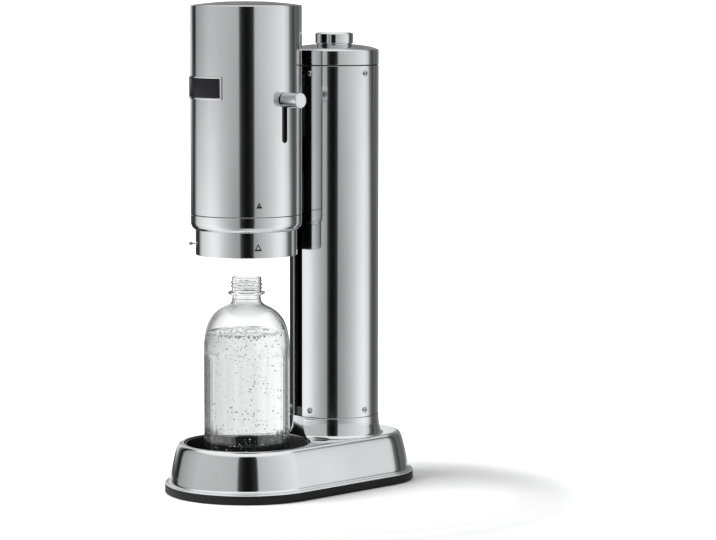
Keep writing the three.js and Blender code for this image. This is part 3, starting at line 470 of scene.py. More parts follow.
def base_shell():
    outer = [
        (0.018, 0.0), (0.02, 0.02), (0.06, 0.035), (0.13, 0.042), (0.19, 0.056), (0.24, 0.078),
        (0.265, 0.102), (0.283, 0.137), (0.302, 0.19), (0.325, 0.26), (0.372, 0.37), (0.422, 0.486),
        (0.482, 0.61), (0.542, 0.724), (0.583, 0.793), (0.62, 0.847), (0.655, 0.891), (0.693, 0.926),
        (0.742, 0.957), (0.795, 0.978), (0.852, 0.992), (0.916, 1.0),
    ]
    inner = [(0.19, 0.0), (0.19, 0.05), (0.37, 0.1), (0.45, 0.3), (0.74, 0.9)]
    stations = stations_egg(*SHELL_ARC_SIDES)
    points = [*skirt_points(outer), (-RIM_INSET - SUPPORT, BASE_TOP)]
    piece = swept("base_shell_fine", points, stations, closed=False, fill=True)
    hollow = [*skirt_points(inner), (-RIM_INSET, BASE_TOP - WALL)]
    hollow.insert(0, (hollow[0][0], BASE_LOW - OVERRUN))
    space = swept("base_space", hollow, stations, closed=False, fill=True)
    lip_width, lip_depth, sleeve_radius, cylinder_shift = 0.0012, 0.007, 0.0305, 0.0082
    lip, lip_foot = RECESS_RADIUS + lip_width, BASE_TOP - lip_depth
    recess = placed(rod("base_recess", lip, 0, BASE_TOP + OVERRUN, WIDE_SIDES), HEAD_AXIS)
    sleeve = rod("base_sleeve", sleeve_radius, 0, BASE_TOP + OVERRUN, SMALL_SIDES)
    placed(sleeve, COLUMN_AXIS + Vector((0, cylinder_shift, 0)))
    carved(piece, [space, recess, sleeve])
    finished(piece, POLISHED, "stand", ["base_shell"])
    corners = [(lip, BASE_TOP, 0), (RECESS_RADIUS, BASE_TOP, 0.0009)]
    corners += [(RECESS_RADIUS, lip_foot, 0.0002), (lip, lip_foot, 0)]
    ring = revolved("base_recess_lip", corners)
    finished(ring, POLISHED, "stand", place=HEAD_AXIS)


def foot_band():
    width, edge = 0.0032, 0.0011
    corners = [(0.0, 0.0, edge), (0.0, BAND_TOP, edge), (-width, BAND_TOP, 0), (-width, 0.0, 0)]
    profile = [(p.x, p.y) for p in supported(fillets(corners), True)]
    band = swept("foot_band_fine", profile, stations_egg(*BAND_ARC_SIDES))
    finished(band, RUBBER, "stand", ["foot_band"])


def drip_tray():
    low_end, high_end = ends("drip_tray")
    taper, wall = 0.0026, 0.0016
    outer = radius_of("drip_tray")
    foot = outer - taper
    corners = [(0, low_end, 0), (foot, low_end, 0.0018), (outer, high_end, 0.0006)]
    corners += [(outer - wall, high_end, 0.0006), (foot - wall, low_end + wall, 0.0028)]
    corners += [(0, low_end + wall, 0)]
    piece = revolved("drip_tray_fine", corners)
    finished(piece, PLASTIC, "tray", ["drip_tray"], HEAD_AXIS)


def column_collar():
    """The collar flares out over the base, and is cut by the base's recess."""
    clearance, wall, flare_width, recess_gap = 0.0004, 0.0024, 0.0043, 0.0003
    outer = COLUMN_RADIUS + clearance
    inner = outer - wall
    top = high("column_collar").z
    flare = [
        (1.0, 0.0), (1.0, 0.012), (0.82, 0.028), (0.66, 0.062), (0.5, 0.118), (0.36, 0.198),
        (0.24, 0.3), (0.14, 0.42), (0.06, 0.57), (0.015, 0.74), (0.0, 0.9),
    ]
    corners = [(outer + flare_width * x, BASE_TOP + (top - BASE_TOP) * y, 0) for x, y in flare]
    corners += [(outer, top, EDGE), (inner, top, EDGE), (inner, BASE_TOP, 0)]
    piece = placed(revolved("column_collar_fine", corners), COLUMN_AXIS)
    recess = rod("collar_recess", RECESS_RADIUS + recess_gap, 0, top + OVERRUN, WIDE_SIDES)
    carved(piece, [placed(recess, HEAD_AXIS)])
    finished(piece, POLISHED, "stand", ["column_collar"])


# Column.
def screw_rows():
    return [(row, middle(f"column_screw_{row}_1")) for row in ("low", "high")]


def column_tube():
    low_end, high_end = ends("column_tube")
    slot_top = high("carriage").z + REAR_SLOT_MARGIN
    screw_hole, lip_start = 0.0027, 0.009
    inner = COLUMN_RADIUS - WALL
    reach = COLUMN_RADIUS + OVERRUN
    piece = tube("column_tube_fine", COLUMN_RADIUS, inner, low_end, high_end, SLOT_EDGE)
    slot = wall_block("column_slot", COLUMN_SLOT, -COLUMN_RADIUS, low_end - OVERRUN, slot_top)
    pipe = side_rod("column_pipe_hole", PIPE_BORE, 0, reach, PIPE_HEIGHT, 0)
    cutters = [slot, placed(pipe, (PIPE_PLACE, 0, 0))]
    for row, height in screw_rows():
        for azimuth in SCREW_AZIMUTHS:
            cutters.append(side_rod("column_hole", screw_hole, inner + WALL / 2, reach, height, azimuth))
    carved(piece, cutters)
    finished(piece, SATIN, "stand", ["column_tube"], COLUMN_AXIS)
    slot_lips(inner, low_end + lip_start, slot_top)
    column_gap_shade(inner, low_end)


def slot_lips(inner, low_end, high_end):
    """Turned-in lips down both sides of the column's slot."""
    width, depth, edge = 0.00136, 0.0024, 0.0003
    reach, inset, standing = 0.0075, 0.0007, 0.0008
    root = -math.sqrt(inner**2 - reach**2)
    for side, name in ((-1, "slot_lip_left"), (1, "slot_lip_right")):
        lip = bevelled(block(name, width, depth, low_end, high_end), edge, 3)
        place = COLUMN_AXIS + Vector((side * (reach - inset), root + standing, 0))
        finished(lip, POLISHED, "stand", place=place)


def column_gap_shade(inner, height):
    """The black line under the column's tube: painted shade for the gap between tube and collar."""
    rise, below, above, edge = 0.0001, 0.0001, 0.0003, 0.00004
    # Painted shade: a black ring standing in for the dark of the gap.
    seam = tube("column_gap_shade", COLUMN_RADIUS + rise, inner, height - below, height + above, edge)
    gap = wall_block("seam_gap", COLUMN_SLOT, -COLUMN_RADIUS, height - OVERRUN, height + OVERRUN)
    finished(carved(seam, [gap]), RUBBER, "stand", place=COLUMN_AXIS)


def column_screws():
    """Low-headed screws with a hexagon socket, each in its dimple."""
    shank, head, foot, seat = 0.0013, 0.0025, -0.0018, -0.0007
    corners = [(0, foot, 0), (shank, foot, 0), (shank, seat, 0), (head, seat, 0)]
    corners += [(head, 0.0005, 0.0004), (0.0017, 0.0012, 0.0005), (0, 0.0013, 0)]
    for row, height in screw_rows():
        for place, azimuth in enumerate(SCREW_AZIMUTHS):
            name = f"column_screw_{row}_{place + 1}"
            screw = revolved(name + "_fine", corners, SCREW_SIDES)
            carved(screw, [rod("screw_socket", 0.0012, 0.0002, 0.004, 6)])
            laid(screw, COLUMN_RADIUS + 0.0001, height, azimuth)
            finished(screw, DARK_STEEL, "stand", [name], COLUMN_AXIS)


def column_cap():
    bottom, top = ends("cap_shell")
    height = top - bottom
    inner = COLUMN_RADIUS - WALL
    corners = [(0, bottom + height / 2, 0), (inner, bottom + height / 2, 0), (inner, bottom, 0)]
    corners += [(COLUMN_RADIUS, bottom, SLOT_EDGE), (COLUMN_RADIUS, bottom + height * 0.74, 0.0016)]
    dome = [(0.965, 0.775), (0.9, 0.83), (0.8, 0.888), (0.7, 0.935), (0.58, 0.975), (0.45, 1.0)]
    corners += [(COLUMN_RADIUS * x, bottom + height * y, 0.004) for x, y in dome]
    corners += [(0, top, 0)]
    piece = revolved("cap_shell_fine", corners)
    finished(piece, SATIN, "cap", ["cap_shell"], COLUMN_AXIS)
    radius = radius_of("cap_knob")
    knob_low, knob_high = ends("cap_knob")
    neck, dish = radius * 0.93, knob_high - 0.0005
    corners = [(0, knob_low, 0), (neck, knob_low, 0), (neck, knob_low + 0.0008, 0)]
    corners += [(radius, knob_low + 0.0012, EDGE), (radius, knob_high, 0.0024)]
    corners += [(radius * 0.8, knob_high, 0.001), (radius * 0.77, dish, 0.0006), (0, dish, 0)]
    knob = revolved("cap_knob_fine", corners)
    finished(knob, POLISHED, "cap", ["cap_knob"], COLUMN_AXIS)
    gasket = tube("cap_gasket_fine", radius_of("cap_gasket"), inner, *ends("cap_gasket"), 0.0001)
    finished(gasket, RUBBER, "cap", ["cap_gasket"], COLUMN_AXIS)


# Head.
def triangle_frame(name, near, far, height, size, line):
    """An outlined triangle, point up, between two distances from the axis, at the marks' azimuth."""
    mesh = bmesh.new()
    corners = ((-0.5, -0.42), (0.5, -0.42), (0.0, 0.5))
    v = [
        mesh.verts.new((reach, x * size * share, z * size * share))
        for reach in (near, far)
        for share in (1.0, 1.0 - line)
        for x, z in corners
    ]
    for i in range(3):
        j = (i + 1) % 3
        mesh.faces.new((v[i], v[j], v[3 + j], v[3 + i]))
        mesh.faces.new((v[6 + i], v[9 + i], v[9 + j], v[6 + j]))
        mesh.faces.new((v[i], v[6 + i], v[6 + j], v[j]))
        mesh.faces.new((v[3 + i], v[3 + j], v[9 + j], v[9 + i]))
    bmesh.ops.recalc_face_normals(mesh, faces=mesh.faces)
    return moved(object_of(name, mesh), towards(MARK_AZIMUTH) @ Matrix.Translation((0, 0, height)))


def mark_cutter(name, radius, height, size, line):
    """A cutter for a small triangle mark."""
    depth, above = 0.0005, 0.002
    return triangle_frame(name, radius - depth, radius + above, height, size, line)


def mark_filling(name, radius, height, size, line, body):
    """Black at the bottom of a triangle mark, a hair smaller than the mark."""
    near, far, share = radius - 0.0007, radius - 0.0002, 0.99
    filling = triangle_frame(name, near, far, height, size * share, line * share)
    finished(filling, RUBBER, body, place=HEAD_AXIS)


def head_shell():
    bottom, top = ends("head_shell")
    radius, rise, edge = HEAD_RADIUS, 0.0034, 0.0008
    inner = radius - WALL
    shoulder = top - rise - edge
    dome = [(0.88, 0.8), (0.75, 0.56), (0.55, 0.28), (0.35, 0.08)]
    corners = [(0, top - WALL, 0), (inner, shoulder - WALL, 0), (inner, bottom, 0)]
    corners += [(radius, bottom, SLOT_EDGE), (radius, shoulder + edge, 0.0011)]
    corners += [(radius * x, top - rise * y, 0.01) for x, y in dome]
    corners += [(0, top, 0)]
    piece = revolved("head_shell_fine", corners)
    travel, half = 0.0347, 0.00315
    reach = radius + OVERRUN
    slot_high = middle("lever_knob")
    slot_low = slot_high - travel
    slot = block("lever_slot", reach, 2 * half, slot_low, slot_high)
    moved(slot, towards(LEVER_AZIMUTH) @ Matrix.Translation((reach / 2, 0, 0)))
    upper = side_rod("slot_upper", half, 0, reach, slot_high, LEVER_AZIMUTH)
    lower = side_rod("slot_lower", half, 0, reach, slot_low, LEVER_AZIMUTH)
    rear = wall_block("rear_slot", REAR_SLOT, radius, bottom - OVERRUN, REAR_SLOT_TOP)
    pipe = side_rod("head_pipe_hole", PIPE_BORE + PIPE_BEND, 0, reach, PIPE_HEIGHT, math.pi)
    mark_rise, mark_size, mark_line = 0.0103, 0.0056, 0.75
    mark = (radius, bottom + mark_rise, mark_size, mark_line)
    carved(piece, [slot, upper, lower, rear, pipe, mark_cutter("head_mark", *mark)])
    finished(piece, SATIN, "stand", ["head_shell"], HEAD_AXIS)
    mark_filling("head_mark_filling", *mark, "stand")


def ring_outside():
    """Corners of the head ring's outside: a rolled lower edge under a straight wall."""
    bottom, radius = low("head_ring").z, HEAD_RADIUS
    return [
        (radius - 0.0034, bottom, 0.0005),
        (radius - 0.0024, bottom + 0.0007, 0.0012),
        (radius - 0.0011, bottom + 0.0023, 0.002),
        (radius - 0.0003, bottom + 0.0044, 0.003),
        (radius, bottom + 0.0064, 0.0016),
    ]


def head_ring():
    bottom, top = ends("head_ring")
    gap, clearance, play = 0.0005, 0.0006, 0.0003
    seam = low("head_shell").z - gap
    bore = radius_of("shroud_tube") + clearance
    spigot = HEAD_RADIUS - WALL - play
    corners = [(bore, bottom, EDGE), *ring_outside(), (HEAD_RADIUS, seam, SLOT_EDGE)]
    corners += [(spigot, seam, 0), (spigot, top, 0), (bore, top, 0)]
    piece = revolved("head_ring_fine", corners)
    # The gap between ring and shell is real; the black ring set in it is painted shade.
    groove = HEAD_RADIUS - 0.0008
    gap_shade = tube("head_seam_gap_shade", groove, spigot + 0.00005, seam, seam + gap, 0.00005)
    for part in (piece, gap_shade):
        slot = wall_block("ring_slot", REAR_SLOT, HEAD_RADIUS, bottom - OVERRUN, top + OVERRUN)
        carved(part, [slot])
    finished(piece, POLISHED, "stand", ["head_ring"], HEAD_AXIS)
    finished(gap_shade, RUBBER, "stand", place=HEAD_AXIS)


def rear_strip(name, outside, body, slot_top=None):
    """A black strip down the rear; below slot_top, the arm's slot parts it in two."""
    outer = [(r + STRIP_RISE, z, 0) for r, z, rounding in outside]
    inner = [(r - STRIP_RISE, z, 0) for r, z, rounding in reversed(outside)]
    piece = revolved(name, outer + inner)
    start, end = outside[0][1] - OVERRUN, outside[-1][1] + OVERRUN
    carved(piece, [wall_block("strip_sector", STRIP_WIDTH, HEAD_RADIUS, start, end)], "INTERSECT")
    if slot_top:
        carved(piece, [wall_block("strip_slot", REAR_SLOT, HEAD_RADIUS, start, slot_top)])
    finished(piece, GLOSS, body, place=HEAD_AXIS)


def head_strip():
    outside = [*ring_outside(), (HEAD_RADIUS, high("head_shell").z - 0.006, 0)]
    rear_strip("head_rear_strip", outside, "stand", REAR_SLOT_TOP)


def shroud():
    bottom, top = ends("shroud_tube")
    wall, edge = 0.0016, 0.0005
    mark_rise, mark_size, mark_line = 0.0095, 0.0068, 0.5
    radius = radius_of("shroud_tube")
    piece = tube("shroud_tube_fine", radius, radius - wall, bottom, top, edge)
    mark = (radius, bottom + mark_rise, mark_size, mark_line)
    carved(piece, [mark_cutter("shroud_mark", *mark)])
    finished(piece, SATIN, "shroud", ["shroud_tube"], HEAD_AXIS)
    mark_filling("shroud_mark_filling", *mark, "shroud")
    stem, head, foot, seat, end = 0.0007, 0.0017, 0.00015, 0.0026, 0.0058
    corners = [(0, foot, 0), (stem, foot, 0), (stem, seat, 0)]
    corners += [(head, seat, 0.0004), (head, end, 0.0012), (0, end, 0)]
    stud = revolved("shroud_stud_fine", corners, SCREW_SIDES)
    laid(stud, radius, middle("shroud_stud"), STUD_AZIMUTH)
    finished(stud, DARK_STEEL, "shroud", ["shroud_stud"], HEAD_AXIS)


def shroud_strip():
    bottom, top = ends("shroud_tube")
    radius, inset = radius_of("shroud_tube"), 0.0006
    outside = [(radius, bottom + inset, 0), (radius, top - inset, 0)]
    rear_strip("shroud_rear_strip", outside, "shroud")


def bent_plate(name, inner, thick, reach, low_end, high_end, frame_width):
    """A plate bent round the head's axis; with a frame's width, its middle is left open."""
    mesh = bmesh.new()
    opening = reach - frame_width / HEAD_RADIUS
    angles = [reach * (2 * i / BADGE_COLUMNS - 1) for i in range(BADGE_COLUMNS + 1)]
    heights = [low_end, high_end]
    if frame_width:
        angles += [opening, -opening]
        heights = [low_end, low_end + frame_width, high_end - frame_width, high_end]
    angles = sorted(set(round(a, 6) for a in angles))
    grid = {}
    for i, a in enumerate(angles):
        for k, z in enumerate(heights):
            for d, r in enumerate((inner, inner + thick)):
                grid[i, k, d] = mesh.verts.new((r * math.cos(a), r * math.sin(a), z))
    filled = set()
    for i, (start, end) in enumerate(zip(angles, angles[1:])):
        for k in range(len(heights) - 1):
            if not (frame_width and k == 1 and abs(start + end) / 2 < opening):
                filled.add((i, k))
    for i, k in filled:
        for d in (0, 1):
            mesh.faces.new([grid[i, k, d], grid[i + 1, k, d], grid[i + 1, k + 1, d], grid[i, k + 1, d]])
        for beside, (a, b), (c, e) in (
            ((i - 1, k), (i, k), (i, k + 1)),
            ((i + 1, k), (i + 1, k), (i + 1, k + 1)),
            ((i, k - 1), (i, k), (i + 1, k)),
            ((i, k + 1), (i, k + 1), (i + 1, k + 1)),
        ):
            if beside not in filled:
                mesh.faces.new([grid[a, b, 0], grid[c, e, 0], grid[c, e, 1], grid[a, b, 1]])
    bmesh.ops.recalc_face_normals(mesh, faces=mesh.faces)
    return moved(bevelled(object_of(name, mesh), thick * 0.3, 2), towards(0))


def badge():
    """The badge place: a thin polished frame round a bare black field."""
    box_low, box_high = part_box("badge_frame")
    inner = HEAD_RADIUS + 0.00015
    half = math.asin((box_high.x - box_low.x) / 2 / (inner + 0.001))
    for name, node, gap, frame_width, thick, material, slot in (
        ("badge_frame_fine", "badge_frame", 0.0, 0.0016, 0.00098, POLISHED, "polished_steel"),
        ("badge_plate_fine", "badge_plate", 0.00165, 0.0, 0.0006, GLOSS, "badge_black"),
    ):
        reach = half - gap / HEAD_RADIUS
        heights = box_low.z + gap, box_high.z - gap
        piece = bent_plate(name, inner, thick, reach, *heights, frame_width)
        finished(piece, material, "stand", [node], HEAD_AXIS)


def lever():
    clearance, length, radius, dish_depth = 0.0006, 0.0199, 0.0067, 0.0002
    root = HEAD_RADIUS + clearance
    end = root + length
    dish = end - dish_depth
    corners = [(0, root, 0), (radius, root, 0.0006), (radius, end, 0.001)]
    corners += [(radius * 0.8, end, 0.0002), (radius * 0.78, dish, 0.0002), (0, dish, 0)]
    piece = revolved("lever_knob_fine", corners, SMALL_SIDES)
    laid(piece, 0, middle("lever_knob"), LEVER_AZIMUTH)
    finished(piece, POLISHED, "lever", ["lever_knob"], HEAD_AXIS)


# Bottle, water and bubbles.
BOTTLE_LOW, BOTTLE_TOP = ends("bottle")
BOTTLE_RADIUS = 0.0382
BOTTLE_WALL = 0.0014
FOOT_HEIGHT = 0.012
FOOT_TOP = BOTTLE_LOW + FOOT_HEIGHT
NECK_RADIUS = 0.0127
FINISH_RADIUS = 0.0133
MOUTH_RADIUS = 0.0114
NECK_BORE = 0.0108
THREAD_RISE = 0.0009
RING_RADIUS = 0.0167
RING_TOP = BOTTLE_TOP - 0.013
RING_LOW = RING_TOP - 0.0021
SHOULDER_HEIGHT = 0.04
SHOULDER_LOW = RING_LOW - 0.007 - SHOULDER_HEIGHT
WATER_TOP = 0.1445


def bottle_outside():
    """Points (radius, height) of the bottle's outside from the foot's rim to the neck's ring."""
    foot = [(0.74, 0.0), (0.84, 0.0), (0.9, 0.06), (0.95, 0.2), (0.98, 0.42), (0.995, 0.7), (1.0, 1.0)]
    shoulder = [
        (1.0, 0.0), (0.999, 0.06), (0.992, 0.15), (0.975, 0.27), (0.946, 0.4), (0.9, 0.52),
        (0.84, 0.63), (0.765, 0.725), (0.68, 0.8), (0.585, 0.86), (0.49, 0.905), (0.42, 0.94),
        (0.372, 0.975), (0.347, 1.02), (0.334, 1.08),
    ]
    points = [(BOTTLE_RADIUS * x, BOTTLE_LOW + FOOT_HEIGHT * y) for x, y in foot]
    step = (SHOULDER_LOW - FOOT_TOP) / BOTTLE_ROWS
    points += [(BOTTLE_RADIUS, FOOT_TOP + step * i) for i in range(1, BOTTLE_ROWS)]
    points += [(BOTTLE_RADIUS * x, SHOULDER_LOW + SHOULDER_HEIGHT * y) for x, y in shoulder]
    return points


def flute_depth(angle, height):
    """How far the bottle's side is pressed in by its flutes, which have rounded ends."""
    low_end, high_end = BOTTLE_LOW + 0.016, SHOULDER_LOW - 0.004
    width_share, depth, arch_rise, end_run = 0.8, 0.0009, 0.0098, 0.0035
    turn = (angle - (FLUTE_AZIMUTH - math.pi / 2)) * FLUTE_COUNT / (2 * math.pi)
    across = 2 * abs((turn + 0.5) % 1.0 - 0.5) / width_share
    if across > 1 or height < low_end or height > high_end:
        return 0.0
    arch = arch_rise * (1 - math.sqrt(1 - across**2))
    inside = min(height - low_end - arch, high_end - arch - height)
    if inside <= 0:
        return 0.0
    return depth * (1 - across**4) * min(1.0, inside / end_run) ** 0.5


def thread_height(angle, height):
    """Ridge of the screw thread on the neck, a little over two turns, fading at its ends."""
    start, pitch, turns, half = RING_TOP + 0.0028, 0.0032, 2.2, 0.001
    best = 0.0
    for k in range(math.ceil(turns)):
        along = (angle % (2 * math.pi)) / (2 * math.pi) + k
        if along > turns:
            continue
        fade = min(1.0, along * 5, (turns - along) * 5)
        ridge = 1 - (abs(height - start - pitch * along) / half) ** 2
        best = max(best, fade * max(0.0, ridge))
    return THREAD_RISE * best


def shifted(vertex, shift):
    """Moves a vertex away from the Z axis."""
    x, y = vertex.co.x, vertex.co.y
    grown = 1 + shift / math.hypot(x, y)
    vertex.co.x, vertex.co.y = x * grown, y * grown


def clear_piece(piece, material, replaces=()):
    """Finishes a clear piece, without shadow or mirror image, as in the photograph."""
    finished(piece, material, "bottle_body", replaces, HEAD_AXIS)
    piece.visible_shadow = False
    piece.visible_glossy = False


def bottle():
    outside = bottle_outside()
    wall = BOTTLE_WALL
    floor_height = BOTTLE_LOW + 0.0048
    dips = [(0.0, 0.0), (0.009, 0.0002), (0.017, 0.0012), (0.0225, 0.0028)]
    centre = [(r, floor_height - dip) for r, dip in dips]
    centre += [(BOTTLE_RADIUS * 0.68, BOTTLE_LOW + 0.0006)]
    neck = [(NECK_RADIUS, RING_LOW - 0.0004), (RING_RADIUS - 0.0006, RING_LOW)]
    neck += [(RING_RADIUS, RING_LOW + 0.0005), (RING_RADIUS, RING_TOP - 0.0005)]
    neck += [(RING_RADIUS - 0.0006, RING_TOP), (FINISH_RADIUS + 0.0004, RING_TOP)]
    step = (BOTTLE_TOP - 0.001 - RING_TOP) / BOTTLE_ROWS
    neck += [(FINISH_RADIUS, RING_TOP + 0.0005 + step * i) for i in range(BOTTLE_ROWS + 1)]
    neck += [(FINISH_RADIUS - 0.0004, BOTTLE_TOP), (MOUTH_RADIUS + 0.0004, BOTTLE_TOP)]
    neck += [(MOUTH_RADIUS, BOTTLE_TOP - 0.0004), (MOUTH_RADIUS, RING_LOW)]
    neck += [(NECK_BORE, RING_LOW - 0.002), (NECK_BORE, RING_LOW - 0.004)]
    inside = []
    for r, z in reversed(outside):
        if z < FOOT_TOP:
            inside.append((r - wall, z + wall))
        elif z <= SHOULDER_LOW:
            inside.append((r - wall, z))
        elif r > 0.0122:
            inside.append((r - wall, z - wall * 0.4))
    under = [(r, z + wall) for r, z in reversed(centre)]
    profile = centre + outside + neck + inside + under
    piece = swept("bottle_fine", profile, stations_round(BOTTLE_SIDES), closed=False)
    for vertex in piece.data.vertices:
        x, y, z = vertex.co
        r = math.hypot(x, y)
        if r > BOTTLE_RADIUS * 0.9:
            shifted(vertex, -flute_depth(math.atan2(y, x), z))
        elif abs(r - FINISH_RADIUS) < 1e-5 and z > RING_TOP:
            shifted(vertex, thread_height(math.atan2(y, x), z))
    clear_piece(piece, PET, ["bottle"])


def water():
    """Water to the shoulder, a hair inside the wall, with a curved edge and a slightly uneven top."""
    fill = [(r, z) for r, z in bottle_outside() if z < WATER_TOP - 0.001]
    inset, lift = BOTTLE_WALL - 0.00012, BOTTLE_WALL * 0.8
    surface = WATER_TOP - 0.0009
    profile = [(0.0, BOTTLE_LOW + 0.0062), (0.018, BOTTLE_LOW + 0.005), (0.026, BOTTLE_LOW + 0.002)]
    profile += [(r - inset, max(z + lift, BOTTLE_LOW + 0.0018)) for r, z in fill]
    edge = profile[-1][0]
    profile += [(edge - 0.0006, WATER_TOP), (edge - 0.0018, WATER_TOP - 0.0007)]
    profile += [(edge * s, surface) for s in (0.85, 0.7, 0.55, 0.4, 0.25, 0.12, 0.0)]
    piece = swept("water_fill", profile, stations_round(BOTTLE_SIDES), closed=False)
    rng = random.Random(BUBBLE_SEED)
    waves = [(rng.uniform(90, 260), rng.uniform(0, 6.28), rng.uniform(0, 6.28)) for i in range(7)]
    for vertex in piece.data.vertices:
        x, y, z = vertex.co
        r = math.hypot(x, y)
        if r > BOTTLE_RADIUS * 0.85:
            shifted(vertex, -flute_depth(math.atan2(y, x), z - lift))
        if z > WATER_TOP - 0.002 and r < edge - 0.001:
            rise = sum(math.sin(f * (x * math.cos(d) + y * math.sin(d)) + p) for f, d, p in waves)
            vertex.co.z += 0.00011 * rise
    clear_piece(piece, WATER)
    water_bubbles(rng, edge)


def unit_ball():
    """Points and faces of a small ball."""
    mesh = bmesh.new()
    bmesh.ops.create_icosphere(mesh, subdivisions=2, radius=1.0)
    points = [vertex.co.copy() for vertex in mesh.verts]
    faces = [[vertex.index for vertex in face.verts] for face in mesh.faces]
    mesh.free()
    return points, faces


def water_bubbles(rng, edge):
    """Bubbles rising through the water and a thin froth under its top."""
    balls = []

    def add_ball(angle, reach, z, size):
        balls.append((Vector((reach * math.cos(angle), reach * math.sin(angle), z)), size))

    limit = BOTTLE_RADIUS * 0.9 - 0.003
    for i in range(BUBBLE_COUNT):
        at_wall = rng.random() < 0.3
        near_top = rng.random() < 0.35
        angle = rng.uniform(0, 2 * math.pi)
        reach = limit * (rng.uniform(0.93, 1.0) if at_wall else math.sqrt(rng.random()))
        depth = rng.random() ** (2.6 if near_top else 0.9)
        z = WATER_TOP - 0.0026 - depth * (WATER_TOP - BOTTLE_LOW - 0.02)
        if z > SHOULDER_LOW:
            reach *= 0.86
        add_ball(angle, reach, z, 0.00026 + 0.0006 * rng.random() ** 3)
    for i in range(FROTH_COUNT):
        angle = rng.uniform(0, 2 * math.pi)
        size = 0.0004 + 0.0009 * rng.random() ** 2
        reach = (edge - 0.0022) * math.sqrt(rng.random())
        add_ball(angle, reach, WATER_TOP - 0.0012 - rng.random() ** 2 * 0.0022, size)
    points, faces = unit_ball()
    step = len(points)
    data = bpy.data.meshes.new("water_bubbles")
    data.from_pydata(
        [place + point * size for place, size in balls for point in points],
        [],
        [[index + i * step for index in face] for i in range(len(balls)) for face in faces],
    )
    clear_piece(new_object("water_bubbles", data), AIR)


# Pieces under the head that show from below.
def seal_and_nozzle():
    for node, name, bore, edge, material, slot in (
        ("bottle_seal", "bottle_seal_fine", 0.0086, 0.0008, RUBBER, "black_rubber"),
        ("nozzle_tube", "nozzle_tube_fine", 0.0012, 0.0003, SATIN, "brushed_steel"),
        ("nozzle_tip", "nozzle_tip_fine", 0.0012, 0.0003, PLASTIC, "black_plastic"),
    ):
        piece = tube(name, radius_of(node), bore, *ends(node), edge, SMALL_SIDES)
        finished(piece, material, "shroud", [node], HEAD_AXIS)


for build in (
    base_shell, foot_band, drip_tray, column_collar, column_tube, column_screws, column_cap,
    head_shell, head_ring, head_strip, shroud, shroud_strip, badge, lever,
    bottle, water, seal_and_nozzle,
):
    build()

# CAD nodes that stay get their materials.
KEPT = {
    PLASTIC: [
        "base_floor", "seat_ring", "column_guide", "valve_head", "gas_manifold", "lever_slider",
        "seal_carrier", "carriage", "cap_plug", "drip_grille",
    ],
    SATIN: ["neck_block", "carrier_arm", "gas_pipe"],
    BRASS: ["cylinder_valve", "valve_pin", "relief_valve"],
    LACQUER: ["gas_cylinder"],
    HOSE: ["gas_hose_coil"],
}
for material, names in KEPT.items():
    for name in names:
        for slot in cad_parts[name].material_slots:
            slot.material = material

# Floor and light.
CAMERA_AZIMUTH = math.radians(53)
STUDIO_TURN = math.radians(1.0)
STUDIO_STRENGTH = 1.65
LEVEL_SCALE = 0.75
HORIZON_LOW, HORIZON_HIGH = -0.09, -0.03
OVERHEAD_RISE = [(0.55, 0.0), (0.78, 1.0)]
OVERHEAD_LEVEL = 0.8
KEY_DISTANCE = 3.6
KEY_SIZE = 3.6
KEY_POWER = 550.0
FLOOR_RADIUS = 0.52
FLOOR_FADE = [(0.14, 0.0), (0.19, 0.22), (0.24, 0.62), (0.3, 1.0)]
FLOOR_FADE_SHIFT = (-0.06, 0.0, 0.0)

# Brightness by direction: degrees from the camera's side, minus is image left.
LOW_LEVELS = [
    (-180, 0.26), (-171, 0.2), (-163, 0.12), (-155, 0.03), (-136, 0.025), (-132, 0.12), (-126, 0.56),
    (-120, 0.8), (-100, 0.98), (-80, 1.14), (-66, 1.06), (-50, 0.74), (-36, 0.54), (-24, 0.42),
    (0, 0.33), (20, 0.4), (34, 0.53), (54, 0.75), (70, 1.0), (84, 1.1), (98, 0.88),
    (105, 0.5), (112, 0.13), (128, 0.09), (142, 0.16), (152, 0.22), (166, 0.25), (180, 0.26),
]
HIGH_LEVELS = [
    (-180, 0.2), (-172, 0.3), (-165, 0.6), (-156, 0.8), (-150, 0.55), (-146, 0.22), (-141, 0.11),
    (-136, 0.04), (-131, 0.0), (-127.5, 0.03), (-122, 0.38), (-110, 0.45), (-80, 0.62), (-40, 0.58),
    (0, 0.5), (40, 0.7), (84, 0.95), (96, 0.74), (99, 0.62), (101.5, 0.3), (104, 0.15), (110, 0.12),
    (114.5, 0.05), (117.5, 0.05), (121, 0.15), (138, 0.12), (146, 0.19), (166, 0.28), (180, 0.2),
]
# Seen through glass: grey all round, with a black card at each side.
GLASS_LEVELS = [
    (-180, 0.6), (-142, 0.56), (-135, 0.14), (-126, 0.03), (-106, 0.03), (-96, 0.35), (-60, 0.5),
    (60, 0.5), (96, 0.35), (106, 0.03), (126, 0.03), (135, 0.13), (145, 0.24), (152, 0.3),
    (159, 0.36), (168, 0.46), (176, 0.54), (180, 0.6),
]
# Brightness across a card, from its left edge to its right one.
BLACK_CARD_LEVELS = [
    (0.0, 0.3), (0.06, 0.1), (0.18, 0.03), (0.36, 0.008), (0.56, 0.004), (0.72, 0.015), (0.94, 0.04),
    (1.0, 0.3),
]
WHITE_CARD_LEVELS = [(0.0, 0.4), (0.2, 1.0), (0.8, 1.0), (1.0, 0.4)]


